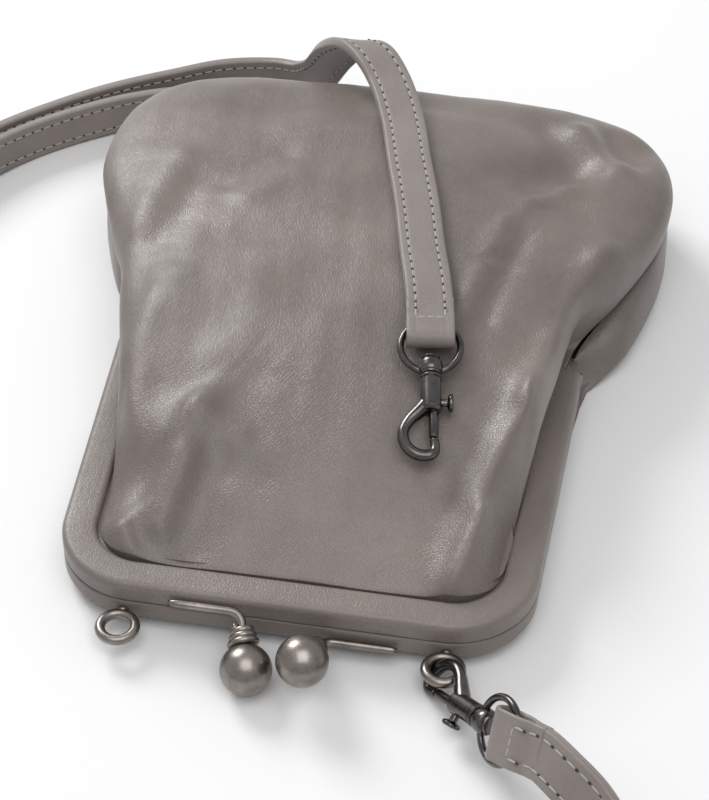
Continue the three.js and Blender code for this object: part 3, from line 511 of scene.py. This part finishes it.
# One panel: edge plus outward times swell, drawn to the middle, rising from its seat to the target.
def panel(edge, rib, seat, swell, target, rows):
    s = np.linspace(0, 1, rows) ** 1.25
    shares = np.moveaxis(smoothTable(rib, s), -1, 0)[:, None, :]
    reach, outHeld, outSewn, gainHeld, gainSewn, inward = shares
    grip, seatDepth = edge[:, 3:4], frameSize["grooveDepth"] + frameSize["fit"]
    out = edge[:, swell, None] * (outSewn * (1 - grip) + outHeld * grip) - grip * reach * seatDepth
    x = (edge[:, 0:1] + edge[:, 6:7] * out) * (1 - inward) + ribMiddle[0] * inward
    y = (edge[:, 1:2] + edge[:, 7:8] * out) * (1 - inward) + ribMiddle[1] * inward
    start = edge[:, 2:3] * (1 - grip) + seat * grip
    gain = gainSewn * (1 - grip) + gainHeld * grip
    return np.stack([x, y, np.maximum(start + (target(x, y) - start) * gain, 0)], -1)


# Front and back panel as one sheet over the sewn seam, open between them at the mouth; Solidify
# gives it the leather's thickness.
def makePouch():
    edge = pouchEdge()
    spread, wall = pouchSize["panelSpread"] / 2, pouchSize["wall"] / 2
    front = panel(edge, frontRib, seamHeight + spread + wall, 4, crownHeight, pouchSize["frontRows"])
    back = panel(edge, backRib, seamHeight - spread - wall, 5, lambda x, y: 0 * x, pouchSize["backRows"])
    ribs, backRows = len(edge), pouchSize["backRows"]
    grid = np.concatenate([back[:, ::-1], front], 1)[::-1]
    grip = edge[::-1, 3]
    columns = grid.shape[1]
    faces = gridFaces(ribs, columns, False, True)[:, ::-1]
    column = faces.min(1) % columns
    mouth = column == backRows - 1
    faces = faces[~mouth]
    sewn = np.where(grip <= 1e-6)[0]
    owner = np.arange(ribs * columns)
    owner[sewn * columns + backRows] = sewn * columns + backRows - 1
    faces = owner[faces]
    points = grid.reshape(-1, 3)
    middleBack, middleFront = len(points), len(points) + 1
    top = crownHeight(*(np.full((1, 1), c) for c in ribMiddle))[0, 0]
    points = np.concatenate([points, [[*ribMiddle, 0.0], [*ribMiddle, top]]])
    r, n = np.arange(ribs), (np.arange(ribs) + 1) % ribs
    fans = [[middleBack, int(b * columns), int(a * columns)] for a, b in zip(r, n)]
    last = columns - 1
    fans += [[middleFront, int(a * columns + last), int(b * columns + last)] for a, b in zip(r, n)]
    used = np.unique(np.concatenate([faces.ravel(), [v for fan in fans for v in fan]]))
    number = np.full(len(points), -1)
    number[used] = np.arange(len(used))
    allFaces = number[faces].tolist() + [[int(number[v]) for v in fan] for fan in fans]
    pouch = newPiece("pouch_body", points[used], allFaces, "bag", pouchLeather, ["pouch"])
    thick = pouch.modifiers.new("leatherThickness", "SOLIDIFY")
    thick.thickness = pouchSize["wall"] * mm
    thick.offset = -1
    thick.use_rim = True
    return pouch


pouch = makePouch()
print("pouch done")


# Frame halves

# Rounded band section carried along the frame's edge, its ends drawn in a little.
def makeFrameHalf(side):
    size = frameSize
    thick, band = size["halfThickness"], size["band"]
    low = pouchSize["panelSpread"] / 2 - size["seamGap"] / 2 - (pouchSize["wall"] + 2 * size["fit"]) / 2
    high, floor = low + pouchSize["wall"] + 2 * size["fit"], band - size["grooveDepth"]
    corners = [(0, 0), (band, 0), (band, low), (floor, low),
               (floor, high), (band, high), (band, thick), (0, thick)]
    outline = roundedLoop(corners, [0.9, 0.5, 0.45, 0.3, 0.3, 0.45, 1.4, 2.1], 8)
    pillow, topZone = 0.22, 1.2  # height of the leather's crown, and how far down it reaches
    onTop = outline[:, 1] > thick - topZone
    crownOn = np.where(onTop, pillow * np.sin(np.pi * np.clip(outline[:, 0] / band, 0, 1)), 0)
    outline = outline + np.stack([0 * crownOn, crownOn - pillow], 1) * onTop[:, None]
    edge = frameEdge(60, 34, 44)
    inner = np.stack([-edge[:, 2], -edge[:, 3], 0 * edge[:, 0]], 1)
    height = np.full(len(edge), seamHeight + side * size["seamGap"] / 2)
    places = np.stack([edge[:, 0], edge[:, 1], height], 1)
    rise = np.broadcast_to([0, 0, float(side)], places.shape)
    centre = np.array([band / 2, thick / 2])
    step = np.array([0.0, 0.35, 0.9, 1.6])
    tuck = 1 - 0.16 * (1 - step / step[-1]) ** 2
    first, last = unit(places[1] - places[0]), unit(places[-2] - places[-1])
    startCaps = places[0] + first * step[:-1, None]
    endCaps = (places[-1] + last * step[:-1, None])[::-1]
    keep = slice(1, -1)
    places = np.concatenate([startCaps, places[keep], endCaps])
    inner = np.concatenate([np.repeat(inner[:1], 3, 0), inner[keep], np.repeat(inner[-1:], 3, 0)])
    rise = np.concatenate([rise[:3], rise[keep], rise[:3]])
    size3 = np.concatenate([tuck[:-1], np.ones(len(edge) - 2), tuck[:-1][::-1]])
    shaped = centre + (outline[None] - centre) * size3[:, None, None]
    grid, faces = sweep(shaped, places, inner, rise)
    if side > 0:
        faces = [face[::-1] for face in faces]
    name = "frame_front" if side > 0 else "frame_back"
    return newPiece(f"{name}_cover", grid, faces, "bag", frameLeather, [name])


for side in (1, -1):
    makeFrameHalf(side)
print("frame done")


# Hinges, rings and clasp

metalSize = {
    "barrel": 4.0, "ringOuter": 11.7, "ringWire": 2.7, "ringSpread": 84.2, "ringTilt": -3.5,
    "ball": 13.4, "rod": 2.2, "rodLength": 19.0, "rodTurn": 10.6, "coilWire": 1.9,
}


# Cylinder of the arm's end with a rounded rivet head at either side
def makeHinge(name, side):
    size, radius, half = frameSize, metalSize["barrel"] / 2, frameSize["band"] / 2
    end = frameEdge(2, 2, 2)[0]
    rows = [(-half, 0), (-half, 0.8 * radius), (-half + 0.5, radius), (-1.6, radius), (-1.5, 0.86 * radius),
            (-1.3, 0.86 * radius), (-1.2, radius), (1.2, radius), (1.3, 0.86 * radius), (1.5, 0.86 * radius),
            (1.6, radius), (half - 0.3, radius), (half, 0.85 * radius), (half + 0.25, 0.5 * radius), (half + 0.3, 0)]
    points, faces = turned(softProfile(rows, 0.15), 32)
    past = radius + size["fit"]
    place = [side * (end[0] - half * end[2] + past * np.sin(flare)),
             end[1] - half * end[3] + past * np.cos(flare), seamHeight]
    axis = np.array([side * np.cos(flare), -np.sin(flare), 0])
    basis = [axis, [0, 0, 1], np.cross(axis, [0, 0, 1])]
    newPiece(f"{name}_knuckle", placed(points, basis, place), faces, "bag", agedNickel, [name])


def makeRing(name, side):
    size = metalSize
    wire, middle = size["ringWire"] / 2, (size["ringOuter"] - size["ringWire"]) / 2
    grid, faces = ringShape(middle, wire, 96, 28)
    ring = grid.reshape(-1, 3) - [0, size["ringOuter"] / 2, 0]
    footRows = [(-0.35, 0), (-0.35, 1.5), (0.5, 1.45), (1.3, 1.1), (1.3, 0)]
    foot, footFaces = turned(softProfile(footRows, 0.3), 28)
    foot = foot @ np.array([[0, -1, 0], [1, 0, 0], [0, 0, 1]])
    points, faces = shells((ring, faces), (foot, footFaces))
    tilt = np.radians(size["ringTilt"]) if side > 0 else 0
    basis = [[1, 0, 0], [0, np.cos(tilt), np.sin(tilt)], [0, -np.sin(tilt), np.cos(tilt)]]
    place = [side * size["ringSpread"] / 2, -frameSize["fit"], seamHeight - frameSize["halfThickness"] / 2]
    newPiece(f"{name}_wire", placed(points, basis, place), faces, "bag", agedNickel, [name])


# Directions of a section carried along a path: across it in the plane of the normal given, and up
def carried(places, normal):
    along = unit(np.gradient(places, axis=0))
    across = unit(np.cross(normal, along))
    return along, across, np.cross(along, across)


# Rod that leaves the frame's edge, bends to the ball, three coil turns and the ball itself
def makeClasp(name, side, ball, height):
    size, radius = metalSize, metalSize["rod"] / 2
    start = np.array([side * (size["rodTurn"] + size["rodLength"]), -(radius + frameSize["fit"]), height])
    turn = np.array([side * size["rodTurn"], start[1], height])
    drop = unit(ball - turn)
    bend = 0.18 * size["rodLength"]
    early, late = turn + [side * bend, 0, 0], turn + drop * bend
    s = np.linspace(0, 1, 18)[:, None]
    curve = early * (1 - s) ** 2 + 2 * turn * s * (1 - s) + late * s**2
    lead = start + (early - start) * np.linspace(0, 1, 16)[:-1, None]
    path = np.concatenate([lead, curve, late + (ball - late) * np.linspace(0, 1, 12)[1:, None]])
    normal = unit(np.cross(early - start, drop))
    _, across, rise = carried(path, normal)
    taper = np.concatenate([[0.6, 0.85, 0.97], np.ones(len(path) - 3)])
    rod = sweep(roundLoop(radius, 24), path, across, rise, taper)
    a = np.linspace(0, 2 * np.pi, 64, endpoint=False)[:, None]
    b = np.linspace(0, np.pi, 34)[None, 1:-1]
    grid = np.stack([np.sin(b) * np.cos(a), np.sin(b) * np.sin(a), np.cos(b) + 0 * a], -1) * size["ball"] / 2
    poles = [[0, 0, size["ball"] / 2], [0, 0, -size["ball"] / 2]]
    sphere = np.concatenate([np.swapaxes(grid, 0, 1).reshape(-1, 3), poles])
    count, rows = 64, 32
    faces = gridFaces(rows, count).tolist()
    faces += [[rows * count, i, (i + 1) % count] for i in range(count)]
    last = (rows - 1) * count
    faces += [[rows * count + 1, last + (i + 1) % count, last + i] for i in range(count)]
    wire = size["coilWire"] / 2
    t = np.linspace(0, 3.1, 150)[:, None]
    seat = ball - drop * 0.47 * size["ball"]
    side2 = unit(np.cross(drop, [0, 0, 1.0]))
    up2 = np.cross(side2, drop)
    reach = 3.35 - 0.5 * t
    angle = 2 * np.pi * t
    coil = seat - drop * (0.25 + 1.55 * t) + reach * (np.cos(angle) * side2 + np.sin(angle) * up2)
    outward = unit(np.cos(angle) * side2 + np.sin(angle) * up2)
    along = unit(np.gradient(coil, axis=0))
    winding = sweep(roundLoop(wire, 16), coil, outward, np.cross(along, outward))
    points, faces = shells(rod, (sphere + ball, faces), winding)
    newPiece(f"{name}_rod", points, faces, "bag", agedNickel, [name])


for side, name in ((1, "right"), (-1, "left")):
    makeHinge(f"hinge_{name}", side)
    makeRing(f"ring_{name}", side)
ballPlace = {"clasp_front": (-6.7, -15, 7.0), "clasp_back": (7.7, -15, 13.3)}  # middles of the balls
for name, side in (("clasp_front", -1), ("clasp_back", 1)):
    offBar = 0.55 * frameSize["halfThickness"]
    makeClasp(name, side, np.array(ballPlace[name]), seamHeight - side * offBar)
print("clasp and rings done")


# Trigger hooks

hookSize = {
    "outer": 18.0, "wire": 1.9, "head": 5.3, "collar": 6.7, "collarStart": 3.2, "collarEnd": 7.9, "stem": 2.4,
    "barrel": 6.0, "barrelEnd": 19.4, "bow": 2.8, "bolt": 2.6, "boltOffset": 0.7, "boltEnd": 27.4,
    "travel": 5.4, "tabPlace": 16.6, "tab": 5.0, "tabReach": 5.9,
}
# Bow from inside the barrel to the tip: shares of the bolt's end and of the barrel, thickness
bow = [
    (0.6, -0.12, 1.6), (0.7, -0.52, 1.42), (0.81, -0.97, 1.16), (0.94, -1.22, 1.08), (1.09, -1.08, 1.12),
    (1.18, -0.62, 1.16), (1.19, -0.1, 1.12), (1.15, 0.13, 1.0), (1.08, 0.17, 0.93), (1.018, 0.13, 0.9),
]


# Level, across and face of a section whose line runs along, turned about it by roll degrees
def directions(along, roll):
    along = np.atleast_2d(along)
    flat = unit(np.cross([0, 0, 1.0], along))
    face = np.cross(along, flat)
    roll = np.radians(np.atleast_1d(roll))[:, None]
    across = flat * np.cos(roll) - face * np.sin(roll)
    return across, np.cross(along, across)


def hookPlace(origin, heading, sink, roll, ringRoll):
    h, s = np.radians(heading), np.radians(sink)
    along = np.array([np.cos(h) * np.cos(s), np.sin(h) * np.cos(s), -np.sin(s)])
    basis = {key: np.stack([along, *(d[0] for d in directions(along, value))]) for key, value in
             (("hook", roll), ("ring", ringRoll))}
    return {"origin": np.array(origin), **basis}


freeHook = hookPlace([26.3, 73.5, 41.9], -81, 15, 0, 0)
ringHook = hookPlace([58.1, -29.8, 15.8], 131.1, 24.9, 43.2, 62)


# Centripetal Catmull-Rom line through the points, with as many points in each span
def centripetal(points, steps):
    points = np.asarray(points, float)
    full = np.concatenate([[2 * points[0] - points[1]], points, [2 * points[-1] - points[-2]]])
    gap = np.maximum(np.linalg.norm(np.diff(full, axis=0), axis=1), 1e-6)[:, None] ** 0.5
    before, here, after = gap[:-2], gap[1:-1], gap[2:]
    p0, p1, p2, p3 = full[:-3], full[1:-2], full[2:-1], full[3:]
    leave = ((p1 - p0) / before - (p2 - p0) / (before + here) + (p2 - p1) / here) * here
    arrive = ((p2 - p1) / here - (p3 - p1) / (here + after) + (p3 - p2) / after) * here
    t = np.linspace(0, 1, steps, endpoint=False)[None, :, None]
    p1, p2, leave, arrive = (a[:, None] for a in (p1, p2, leave, arrive))
    cubic, square = 2 * p1 - 2 * p2 + leave + arrive, 3 * p2 - 3 * p1 - 2 * leave - arrive
    line = cubic * t**3 + square * t**2 + leave * t + p1
    return np.concatenate([line.reshape(-1, points.shape[1]), points[-1:]])


def makeHook(name, pose, hookBody, boltBody):
    size = hookSize
    radius, start, end = size["barrel"] / 2, size["collarEnd"] + 0.3, size["barrelEnd"]
    middle = (size["outer"] - size["wire"]) / 2
    grid, faces = ringShape(middle, size["wire"] / 2, 96, 20)
    ring = grid.reshape(-1, 3) + [size["collarEnd"] - size["wire"] / 2 - middle, 0, 0]
    head, collar, low, high = size["head"] / 2, size["collar"] / 2, size["collarStart"], size["collarEnd"]
    stem = size["stem"] / 2
    rows = [(low - 0.9, 0), (low - 0.9, 0.85 * head), (low - 0.45, head), (low, 0.8 * head),
            (low + 0.15, 0.78 * head), (low + 0.6, 0.93 * collar), (low + 1.5, collar),
            (high - 1.7, collar), (high - 0.7, 0.95 * collar), (high - 0.5, 0.8 * collar),
            (high - 0.05, 0.78 * collar), (high, stem), (high + 1.4, stem), (high + 1.4, 0)]
    points, faces = shells((ring, faces), turned(softProfile(rows, 0.22), 40))
    points = placed(points, pose["ring"], pose["origin"])
    newPiece(f"{name}_swivel", points, faces, "bag", gunmetal, [f"{name}_ring"])

    # Barrel on a grid of length and angle; inside the slot the radius drops to the bore's
    slotHalf = 0.4 * size["bolt"] + 0.15
    slotStart = size["tabPlace"] - size["travel"] - slotHalf - 0.3
    slotEnd = size["tabPlace"] + slotHalf + 0.3
    rows = softProfile([(start, 0), (start, 0.9 * radius), (start + 0.5, radius), (start + 1.0, radius),
                        (start + 1.15, 0.9 * radius), (start + 1.5, 0.9 * radius), (start + 1.65, radius),
                        (slotStart - 0.12, radius), (slotStart, radius),
                        (slotEnd, radius), (slotEnd + 0.12, radius),
                        (end - 0.8, radius), (end, 0.8 * radius), (end, 0)], 0.05)
    points, faces = turned(rows, 96)
    angle = np.arctan2(points[:, 2], points[:, 1])
    within = (np.abs(np.sin(angle)) * radius < slotHalf) & (points[:, 1] > 0)
    within &= (points[:, 0] > slotStart - 0.06) & (points[:, 0] < slotEnd + 0.06)
    points[:, 1] = np.where(within, np.minimum(points[:, 1], 2.05), points[:, 1])
    centres = np.array([(along * size["boltEnd"], across * size["barrel"], 0) for along, across, _ in bow])
    path = centripetal(centres, 12)
    along, across, rise = carried(path, np.array([0, 0, 1.0]))
    thick = smoothTable([row[2:] for row in bow], np.linspace(0, 1, len(path)))[:, 0]
    thick[-1] *= 0.86
    curl = sweep(roundLoop(size["bow"] / 2, 28), path, across, rise, thick)
    points, faces = shells((points, faces), curl)
    points = placed(points, pose["hook"], pose["origin"])
    newPiece(f"{name}_barrel", points, faces, hookBody, gunmetal, [f"{name}_body"])

    pin, tail = size["bolt"] / 2, size["tabPlace"] - 0.5 * size["bolt"]
    tip, offset = size["boltEnd"], size["boltOffset"]
    pinRows = [(tail, 0), (tail, pin), (tip - 0.4, pin), (tip, 0.7 * pin), (tip, 0)]
    bolt = turned(softProfile(pinRows, 0.15), 28, offset)
    reach, tab, thin = size["tabReach"], size["tab"] / 2, 0.4 * size["bolt"]
    tabRows = [(offset, 0), (offset, thin), (reach - 1.6, thin), (reach - 1.3, 0.8 * tab),
               (reach - 0.9, tab), (reach - 0.35, tab), (reach, 0.86 * tab),
               (reach - 0.12, 0.4 * tab), (reach - 0.16, 0)]
    post = turned(softProfile(tabRows, 0.12), 36)
    upright = post[0] @ np.array([[0, 1, 0], [1, 0, 0], [0, 0, -1]]) + [size["tabPlace"], 0, 0]
    points, faces = shells(bolt, (upright, post[1]))
    points = placed(points, pose["hook"], pose["origin"])
    newPiece(f"{name}_pin", points, faces, boltBody, gunmetal, [f"{name}_bolt"])


makeHook("free_hook", freeHook, "free_hook", "free_bolt")
makeHook("ring_hook", ringHook, "ring_hook", "ring_bolt")
print("hooks done")


# Straps

strapSize = {
    "width": 13.0, "thickness": 3.3, "loopWall": 1.2, "loopEye": 3.3, "loopLength": 12.6, "round": 0.75,
    "stitchRow": 3.95, "stitchPitch": 3.6, "stitchLength": 2.7, "stitchWide": 0.62, "stitchProud": 0.3,
    "crossFrom": -4.6,
}
# Routes in shares of half width, length and depth, with the turn out of flat
shortRoute = [
    (0.253, 0.485, 1.075, 0), (0.215, 0.55, 1.055, 0), (0.16, 0.65, 1.052, 0), (0.1, 0.745, 1.042, 0),
    (0.035, 0.85, 1.03, 0), (-0.04, 0.93, 1.07, 0), (-0.12, 0.98, 1.12, 4), (-0.205, 1.02, 1.05, 22),
    (-0.295, 1.06, 0.8, 48), (-0.375, 1.098, 0.47, 72), (-0.46, 1.145, 0.23, 86), (-0.58, 1.165, 0.17, 90),
    (-0.77, 1.148, 0.17, 90), (-0.95, 1.107, 0.17, 90), (-1.17, 1.05, 0.17, 90), (-1.36, 0.985, 0.17, 90),
    (-1.54, 0.905, 0.18, 90), (-1.68, 0.81, 0.2, 90), (-1.755, 0.72, 0.215, 90),
]
longRoute = [
    (0.888, -0.22, 0.532, 56), (0.965, -0.244, 0.471, 54), (1.03, -0.273, 0.385, 54), (1.1, -0.313, 0.28, 60),
    (1.165, -0.365, 0.185, 72), (1.185, -0.43, 0.17, 88), (1.13, -0.51, 0.17, 90), (0.97, -0.575, 0.17, 90),
    (0.6, -0.61, 0.17, 90), (0.1, -0.615, 0.17, 90), (-0.5, -0.61, 0.17, 90), (-1.05, -0.585, 0.17, 90),
    (-1.5, -0.5, 0.17, 90), (-1.79, -0.33, 0.17, 90), (-1.92, -0.08, 0.17, 90), (-1.95, 0.2, 0.17, 90),
    (-1.88, 0.48, 0.18, 90), (-1.775, 0.64, 0.205, 90), (-1.68, 0.745, 0.215, 90), (-1.56, 0.842, 0.19, 90),
    (-1.42, 0.92, 0.17, 90), (-1.24, 0.985, 0.17, 90), (-1.05, 1.035, 0.17, 90), (-0.85, 1.065, 0.17, 90),
    (-0.66, 1.07, 0.17, 90),
]


# Where the strap starts behind the swivel ring's far side, the way it leaves and its turn
def strapStart(pose, tiltDegrees):
    size, (along, side, face) = strapSize, pose["ring"]
    far = hookSize["collarEnd"] + hookSize["wire"] / 2 - hookSize["outer"]
    tilt = np.radians(tiltDegrees)
    away = -along * np.cos(tilt) - face * np.sin(tilt)
    middle = (hookSize["outer"] - hookSize["wire"]) / 2
    dip = middle - np.sqrt(middle**2 - (size["width"] / 2) ** 2)
    flat, flatFace = (d[0] for d in directions(away, 0))
    eyeStart = 0.22 * size["loopLength"]
    place = pose["origin"] + along * far + away * (eyeStart + frameSize["fit"] + hookSize["wire"] / 2)
    turn = np.degrees(np.arctan2(-side @ flatFace, -side @ flat))
    return place - face * 0.5 * dip * np.sin(tilt), away, turn


def strapLine(pose, tilt, route):
    place, away, turn = strapStart(pose, tilt)
    scale = [pouchSize["halfWidth"], pouchSize["length"], pouchSize["depth"]]
    straight = place + away * strapSize["width"] / 4
    points = np.concatenate([[place, straight], np.array(route)[:, :3] * scale])
    turns = np.array([turn, turn, *(row[3] for row in route)])[:, None]
    line = centripetal(points, 24)
    along = unit(np.gradient(line, axis=0))
    along[0] = away
    across, face = directions(along, -smoothTable(turns, np.linspace(0, 1, len(line)))[:, 0])
    return line, along, across, face


# Section of a strap: round edges, a low crown between two stitching grooves
def strapSection(width, thick, groove=0.14):
    shares = [np.linspace(-1, -0.8, 6)[1:], np.linspace(-0.76, 0.76, 39), np.linspace(0.8, 1, 6)[:-1]]
    a = np.concatenate(shares) * width / 2
    edge = strapSize["round"]
    fall = np.clip((np.abs(a) - (width / 2 - edge)) / edge, 0, 1)
    height = thick / 2 * np.sqrt(1 - 0.55 * fall**2)
    height = height - groove * np.exp(-((np.abs(a) - strapSize["stitchRow"]) / 0.42) ** 2)
    side, flat = width / 2, thick * 0.22
    bulge = np.array([[-side, -flat], [-side, flat], [side, flat], [side, -flat]])
    upper, lower = np.stack([a, height], 1), np.stack([a, -height], 1)[::-1]
    return np.concatenate([bulge[:2], upper, bulge[2:], lower])


# Closed stitch at each place: a low-sided capsule, long way along, sunk a little into the strap
def stitchMesh(places, along, across, face, length, wide, proud):
    u = np.array([-1, -0.72, 0, 0.72, 1])
    swell = np.array([0.35, 0.86, 1, 0.86, 0.35])
    angle = np.linspace(0, 2 * np.pi, 6, endpoint=False)
    local = np.stack([
        np.broadcast_to((u * length / 2)[:, None], (5, 6)),
        swell[:, None] * np.cos(angle) * wide / 2,
        swell[:, None] * np.sin(angle) * proud,
    ], -1).reshape(-1, 3)
    basis = np.stack([along, across, face], 1)
    points = places[:, None] + np.einsum("vk,skc->svc", local, basis)
    one = gridFaces(5, 6).tolist() + [list(range(6))[::-1], [24 + i for i in range(6)]]
    faces = [[v + 30 * s for v in f] for s in range(len(places)) for f in one]
    return points.reshape(-1, 3), faces


def alongLine(line, values, distance):
    gone = np.concatenate([[0], np.cumsum(np.linalg.norm(np.diff(line, axis=0), axis=1))])
    return np.stack([np.interp(distance, gone, values[:, i]) for i in range(3)], -1), gone[-1]


# The folded end that holds the ring: a band from the strap's top face round the wire to its back
def loopPath(size):
    wall, eye = size["loopWall"], size["loopEye"] / 2
    reach, half = eye + wall / 2, size["thickness"] / 2 - wall / 2
    bend = size["loopLength"] - eye - wall
    angle = np.linspace(np.pi / 2, -np.pi / 2, 26)
    arc = np.stack([bend + reach * np.cos(angle), reach * np.sin(angle)], 1)
    s = np.linspace(0, 1, 18)[:, None]
    inside = 4.0  # how far the band runs on inside the strap
    rise = np.concatenate([s * (bend + inside) - inside, half + (reach - half) * smoothStep(s, 0.22, 0.62)], 1)[:-1]
    return np.concatenate([rise, arc, rise[::-1] * [1, -1]])


def makeStrap(name, pose, tilt, route):
    size = strapSize
    line, along, across, face = strapLine(pose, tilt, route)
    outline = strapSection(size["width"], size["thickness"])
    grid, faces = sweep(outline, line, across, face)
    flat = loopPath(size)
    places = line[0] - along[0] * flat[:, :1] + face[0] * flat[:, 1:]
    step = unit(np.gradient(places, axis=0))
    acrossLoop = np.broadcast_to(across[0], places.shape)
    band = strapSection(size["width"], size["loopWall"], 0.05)
    loop = sweep(band, places, acrossLoop, np.cross(step, acrossLoop))
    points, faces = shells((grid, faces), loop)
    newPiece(f"{name}_leather", points, faces, "bag", strapLeather, [name])

    total = alongLine(line, line, 0)[1]
    crossAt = size["crossFrom"]
    distance = np.arange(crossAt, total - 3, size["stitchPitch"]) + size["stitchPitch"] / 2
    rows, stitch = [], [size[f"stitch{part}"] for part in ("Length", "Wide", "Proud")]
    middle, way, sideways, normal = (alongLine(line, v, distance)[0] for v in (line, along, across, face))
    way, sideways, normal = unit(way), unit(sideways), unit(normal)
    past = np.minimum(distance, 0)[:, None]
    middle = middle + along[0] * past
    lift = (size["loopEye"] / 2 + size["loopWall"] - size["thickness"] / 2) * smoothStep(-past, 0, 3.2)
    for row in (-1, 1):
        for up in (-1, 1):
            proud = normal * up * (size["thickness"] / 2 - 0.12 + lift)
            seat = middle + sideways * row * size["stitchRow"] + proud
            rows.append(stitchMesh(seat, way, sideways, normal, *stitch))
    offsets = np.linspace(-1, 1, 3)[:, None] * (size["stitchRow"] * 0.62)
    for up in (-1, 1):
        proud = face[0] * up * (size["thickness"] / 2 - 0.12 + lift[0])
        seat = line[0] + along[0] * crossAt + across[0] * offsets + proud
        same = [np.repeat(v[:1], 3, 0) for v in (across, along, face)]
        rows.append(stitchMesh(seat, *same, 2.2, size["stitchWide"], size["stitchProud"]))
    points, faces = shells(*rows)
    newPiece(f"{name}_stitching", points, faces, "bag", stitchThread)
    # Painted shade of the stitch holes: small near-black capsules half a stitch on from each stitch
    holeShadeDots = []
    for row in (-1, 1):
        for up in (-1, 1):
            proud = normal * up * (size["thickness"] / 2 - 0.1 + lift)
            seat = middle + sideways * row * size["stitchRow"] + proud + way * size["stitchPitch"] / 2
            holeShadeDots.append(stitchMesh(seat, way, sideways, normal, 0.95, 0.8, size["stitchProud"] * 0.6))
    points, faces = shells(*holeShadeDots)
    newPiece(f"{name}_holes", points, faces, "bag", holeShade)


makeStrap("strap_short", freeHook, 12, shortRoute)
makeStrap("strap_long", ringHook, 13, longRoute)
print("straps done")


# Slide round both straps: a rounded band of metal carried round a rectangle with soft corners
slideSize = {
    "side": 1.6, "length": 9.0, "corner": 2.2, "place": (-1.72, 0.735, 0.215), "along": (0.5, 0.86, 0.0),
}


def makeSlide():
    size = slideSize
    x = (2 * strapSize["thickness"] + 4 * frameSize["fit"] + 2) / 2 + size["side"] / 2
    y = (strapSize["width"] + 2 * frameSize["fit"]) / 2 + size["side"] / 2
    path = roundedLoop([(-x, -y), (x, -y), (x, y), (-x, y)], [size["corner"]] * 4, 9)
    ahead = unit(np.roll(path, -1, 0) - np.roll(path, 1, 0))
    outward = np.stack([ahead[:, 1], -ahead[:, 0], 0 * ahead[:, 0]], 1)
    half, wide = size["side"] / 2, size["length"] / 2
    section = roundedLoop([(-half, -wide), (half, -wide), (half, wide), (-half, wide)], [0.6] * 4, 6)
    rise = np.broadcast_to([0, 0, 1.0], (len(path), 3))
    grid, faces = sweep(section, np.concatenate([path, 0 * path[:, :1]], 1), outward, rise, closed=True)
    along = unit(np.array(size["along"]))
    basis = [np.cross([0, 0, 1.0], along), [0, 0, 1], along]
    place = np.array(size["place"]) * [pouchSize["halfWidth"], pouchSize["length"], pouchSize["depth"]]
    points = placed(grid, basis, place)
    newPiece("strap_slide_band", points, faces, "bag", agedNickel, ["strap_slide"])


makeSlide()


# Table, light and camera

lightSize = {
    "floor": 4.0, "aim": (10, 80, 10), "floorTone": (0.80, 0.80, 0.80),
    "sky": (0.985, 0.99, 1.0), "skyPower": 0.56,
    "keyPower": 14.0, "keyWide": 0.62, "keyPlace": (-840, 900, 900),
    "fillPower": 6.6, "fillWide": 1.0, "fillPlace": (150, -380, 1150),
}


def makeStage():
    mesh = bpy.data.meshes.new("table")
    half = lightSize["floor"] / 2
    corners = [(-half, -half, 0), (half, -half, 0), (half, half, 0), (-half, half, 0)]
    mesh.from_pydata(corners, [], [(0, 1, 2, 3)])
    table = bpy.data.objects.new("table", mesh)
    bpy.context.scene.collection.objects.link(table)
    material, _, _, shader, _ = newMaterial("tableTop")
    shader.inputs["Base Color"].default_value = (*lightSize["floorTone"], 1)
    shader.inputs["Roughness"].default_value = 0.75
    shader.inputs["Specular IOR Level"].default_value = 0.3
    mesh.materials.append(material)
    world = bpy.data.worlds.new("studio")
    world.use_nodes = True
    sky = world.node_tree.nodes["Background"]
    sky.inputs["Color"].default_value = (*lightSize["sky"], 1)
    sky.inputs["Strength"].default_value = lightSize["skyPower"]
    bpy.context.scene.world = world
    for name in ("key", "fill"):
        light = bpy.data.lights.new(f"{name}Light", "AREA")
        light.energy = lightSize[f"{name}Power"]
        light.size = lightSize[f"{name}Wide"]
        lamp = bpy.data.objects.new(f"{name}Light", light)
        bpy.context.scene.collection.objects.link(lamp)
        place = Vector(np.array(lightSize[f"{name}Place"]) * mm + placeOfBar)
        aim = Vector(np.array(lightSize["aim"]) * mm + placeOfBar)
        lamp.location = place
        lamp.rotation_mode = "QUATERNION"
        lamp.rotation_quaternion = (aim - place).to_track_quat("-Z", "Y")


makeStage()

# Camera as fitted to the photograph: turned and tipped in degrees, aimed at a point in millimetres
cameraSize = {
    "elevation": 43.0, "azimuth": -9.06, "roll": 0.76, "distance": 636.0, "aim": (2.45, 95.1, 0.0),
    "lens": 99.1, "sensor": 36.0,
}


def makeCamera():
    size = cameraSize
    e, a, roll = (np.radians(size[key]) for key in ("elevation", "azimuth", "roll"))
    ahead = np.array([np.sin(a) * np.cos(e), np.cos(a) * np.cos(e), -np.sin(e)])
    right = np.array([np.cos(a), -np.sin(a), 0])
    above = np.cross(right, ahead)
    right, above = right * np.cos(roll) + above * np.sin(roll), above * np.cos(roll) - right * np.sin(roll)
    place = (np.array(size["aim"]) - ahead * size["distance"]) * mm + placeOfBar
    data = bpy.data.cameras.new("photoCamera")
    data.lens = size["lens"]
    data.sensor_width = size["sensor"]
    camera = bpy.data.objects.new("photoCamera", data)
    bpy.context.scene.collection.objects.link(camera)
    turn = Matrix((right, above, -ahead)).transposed().to_4x4()
    camera.matrix_world = Matrix.Translation(place) @ turn
    bpy.context.scene.camera = camera


makeCamera()
bpy.context.scene.view_settings.view_transform = "Standard"
print("stage done")
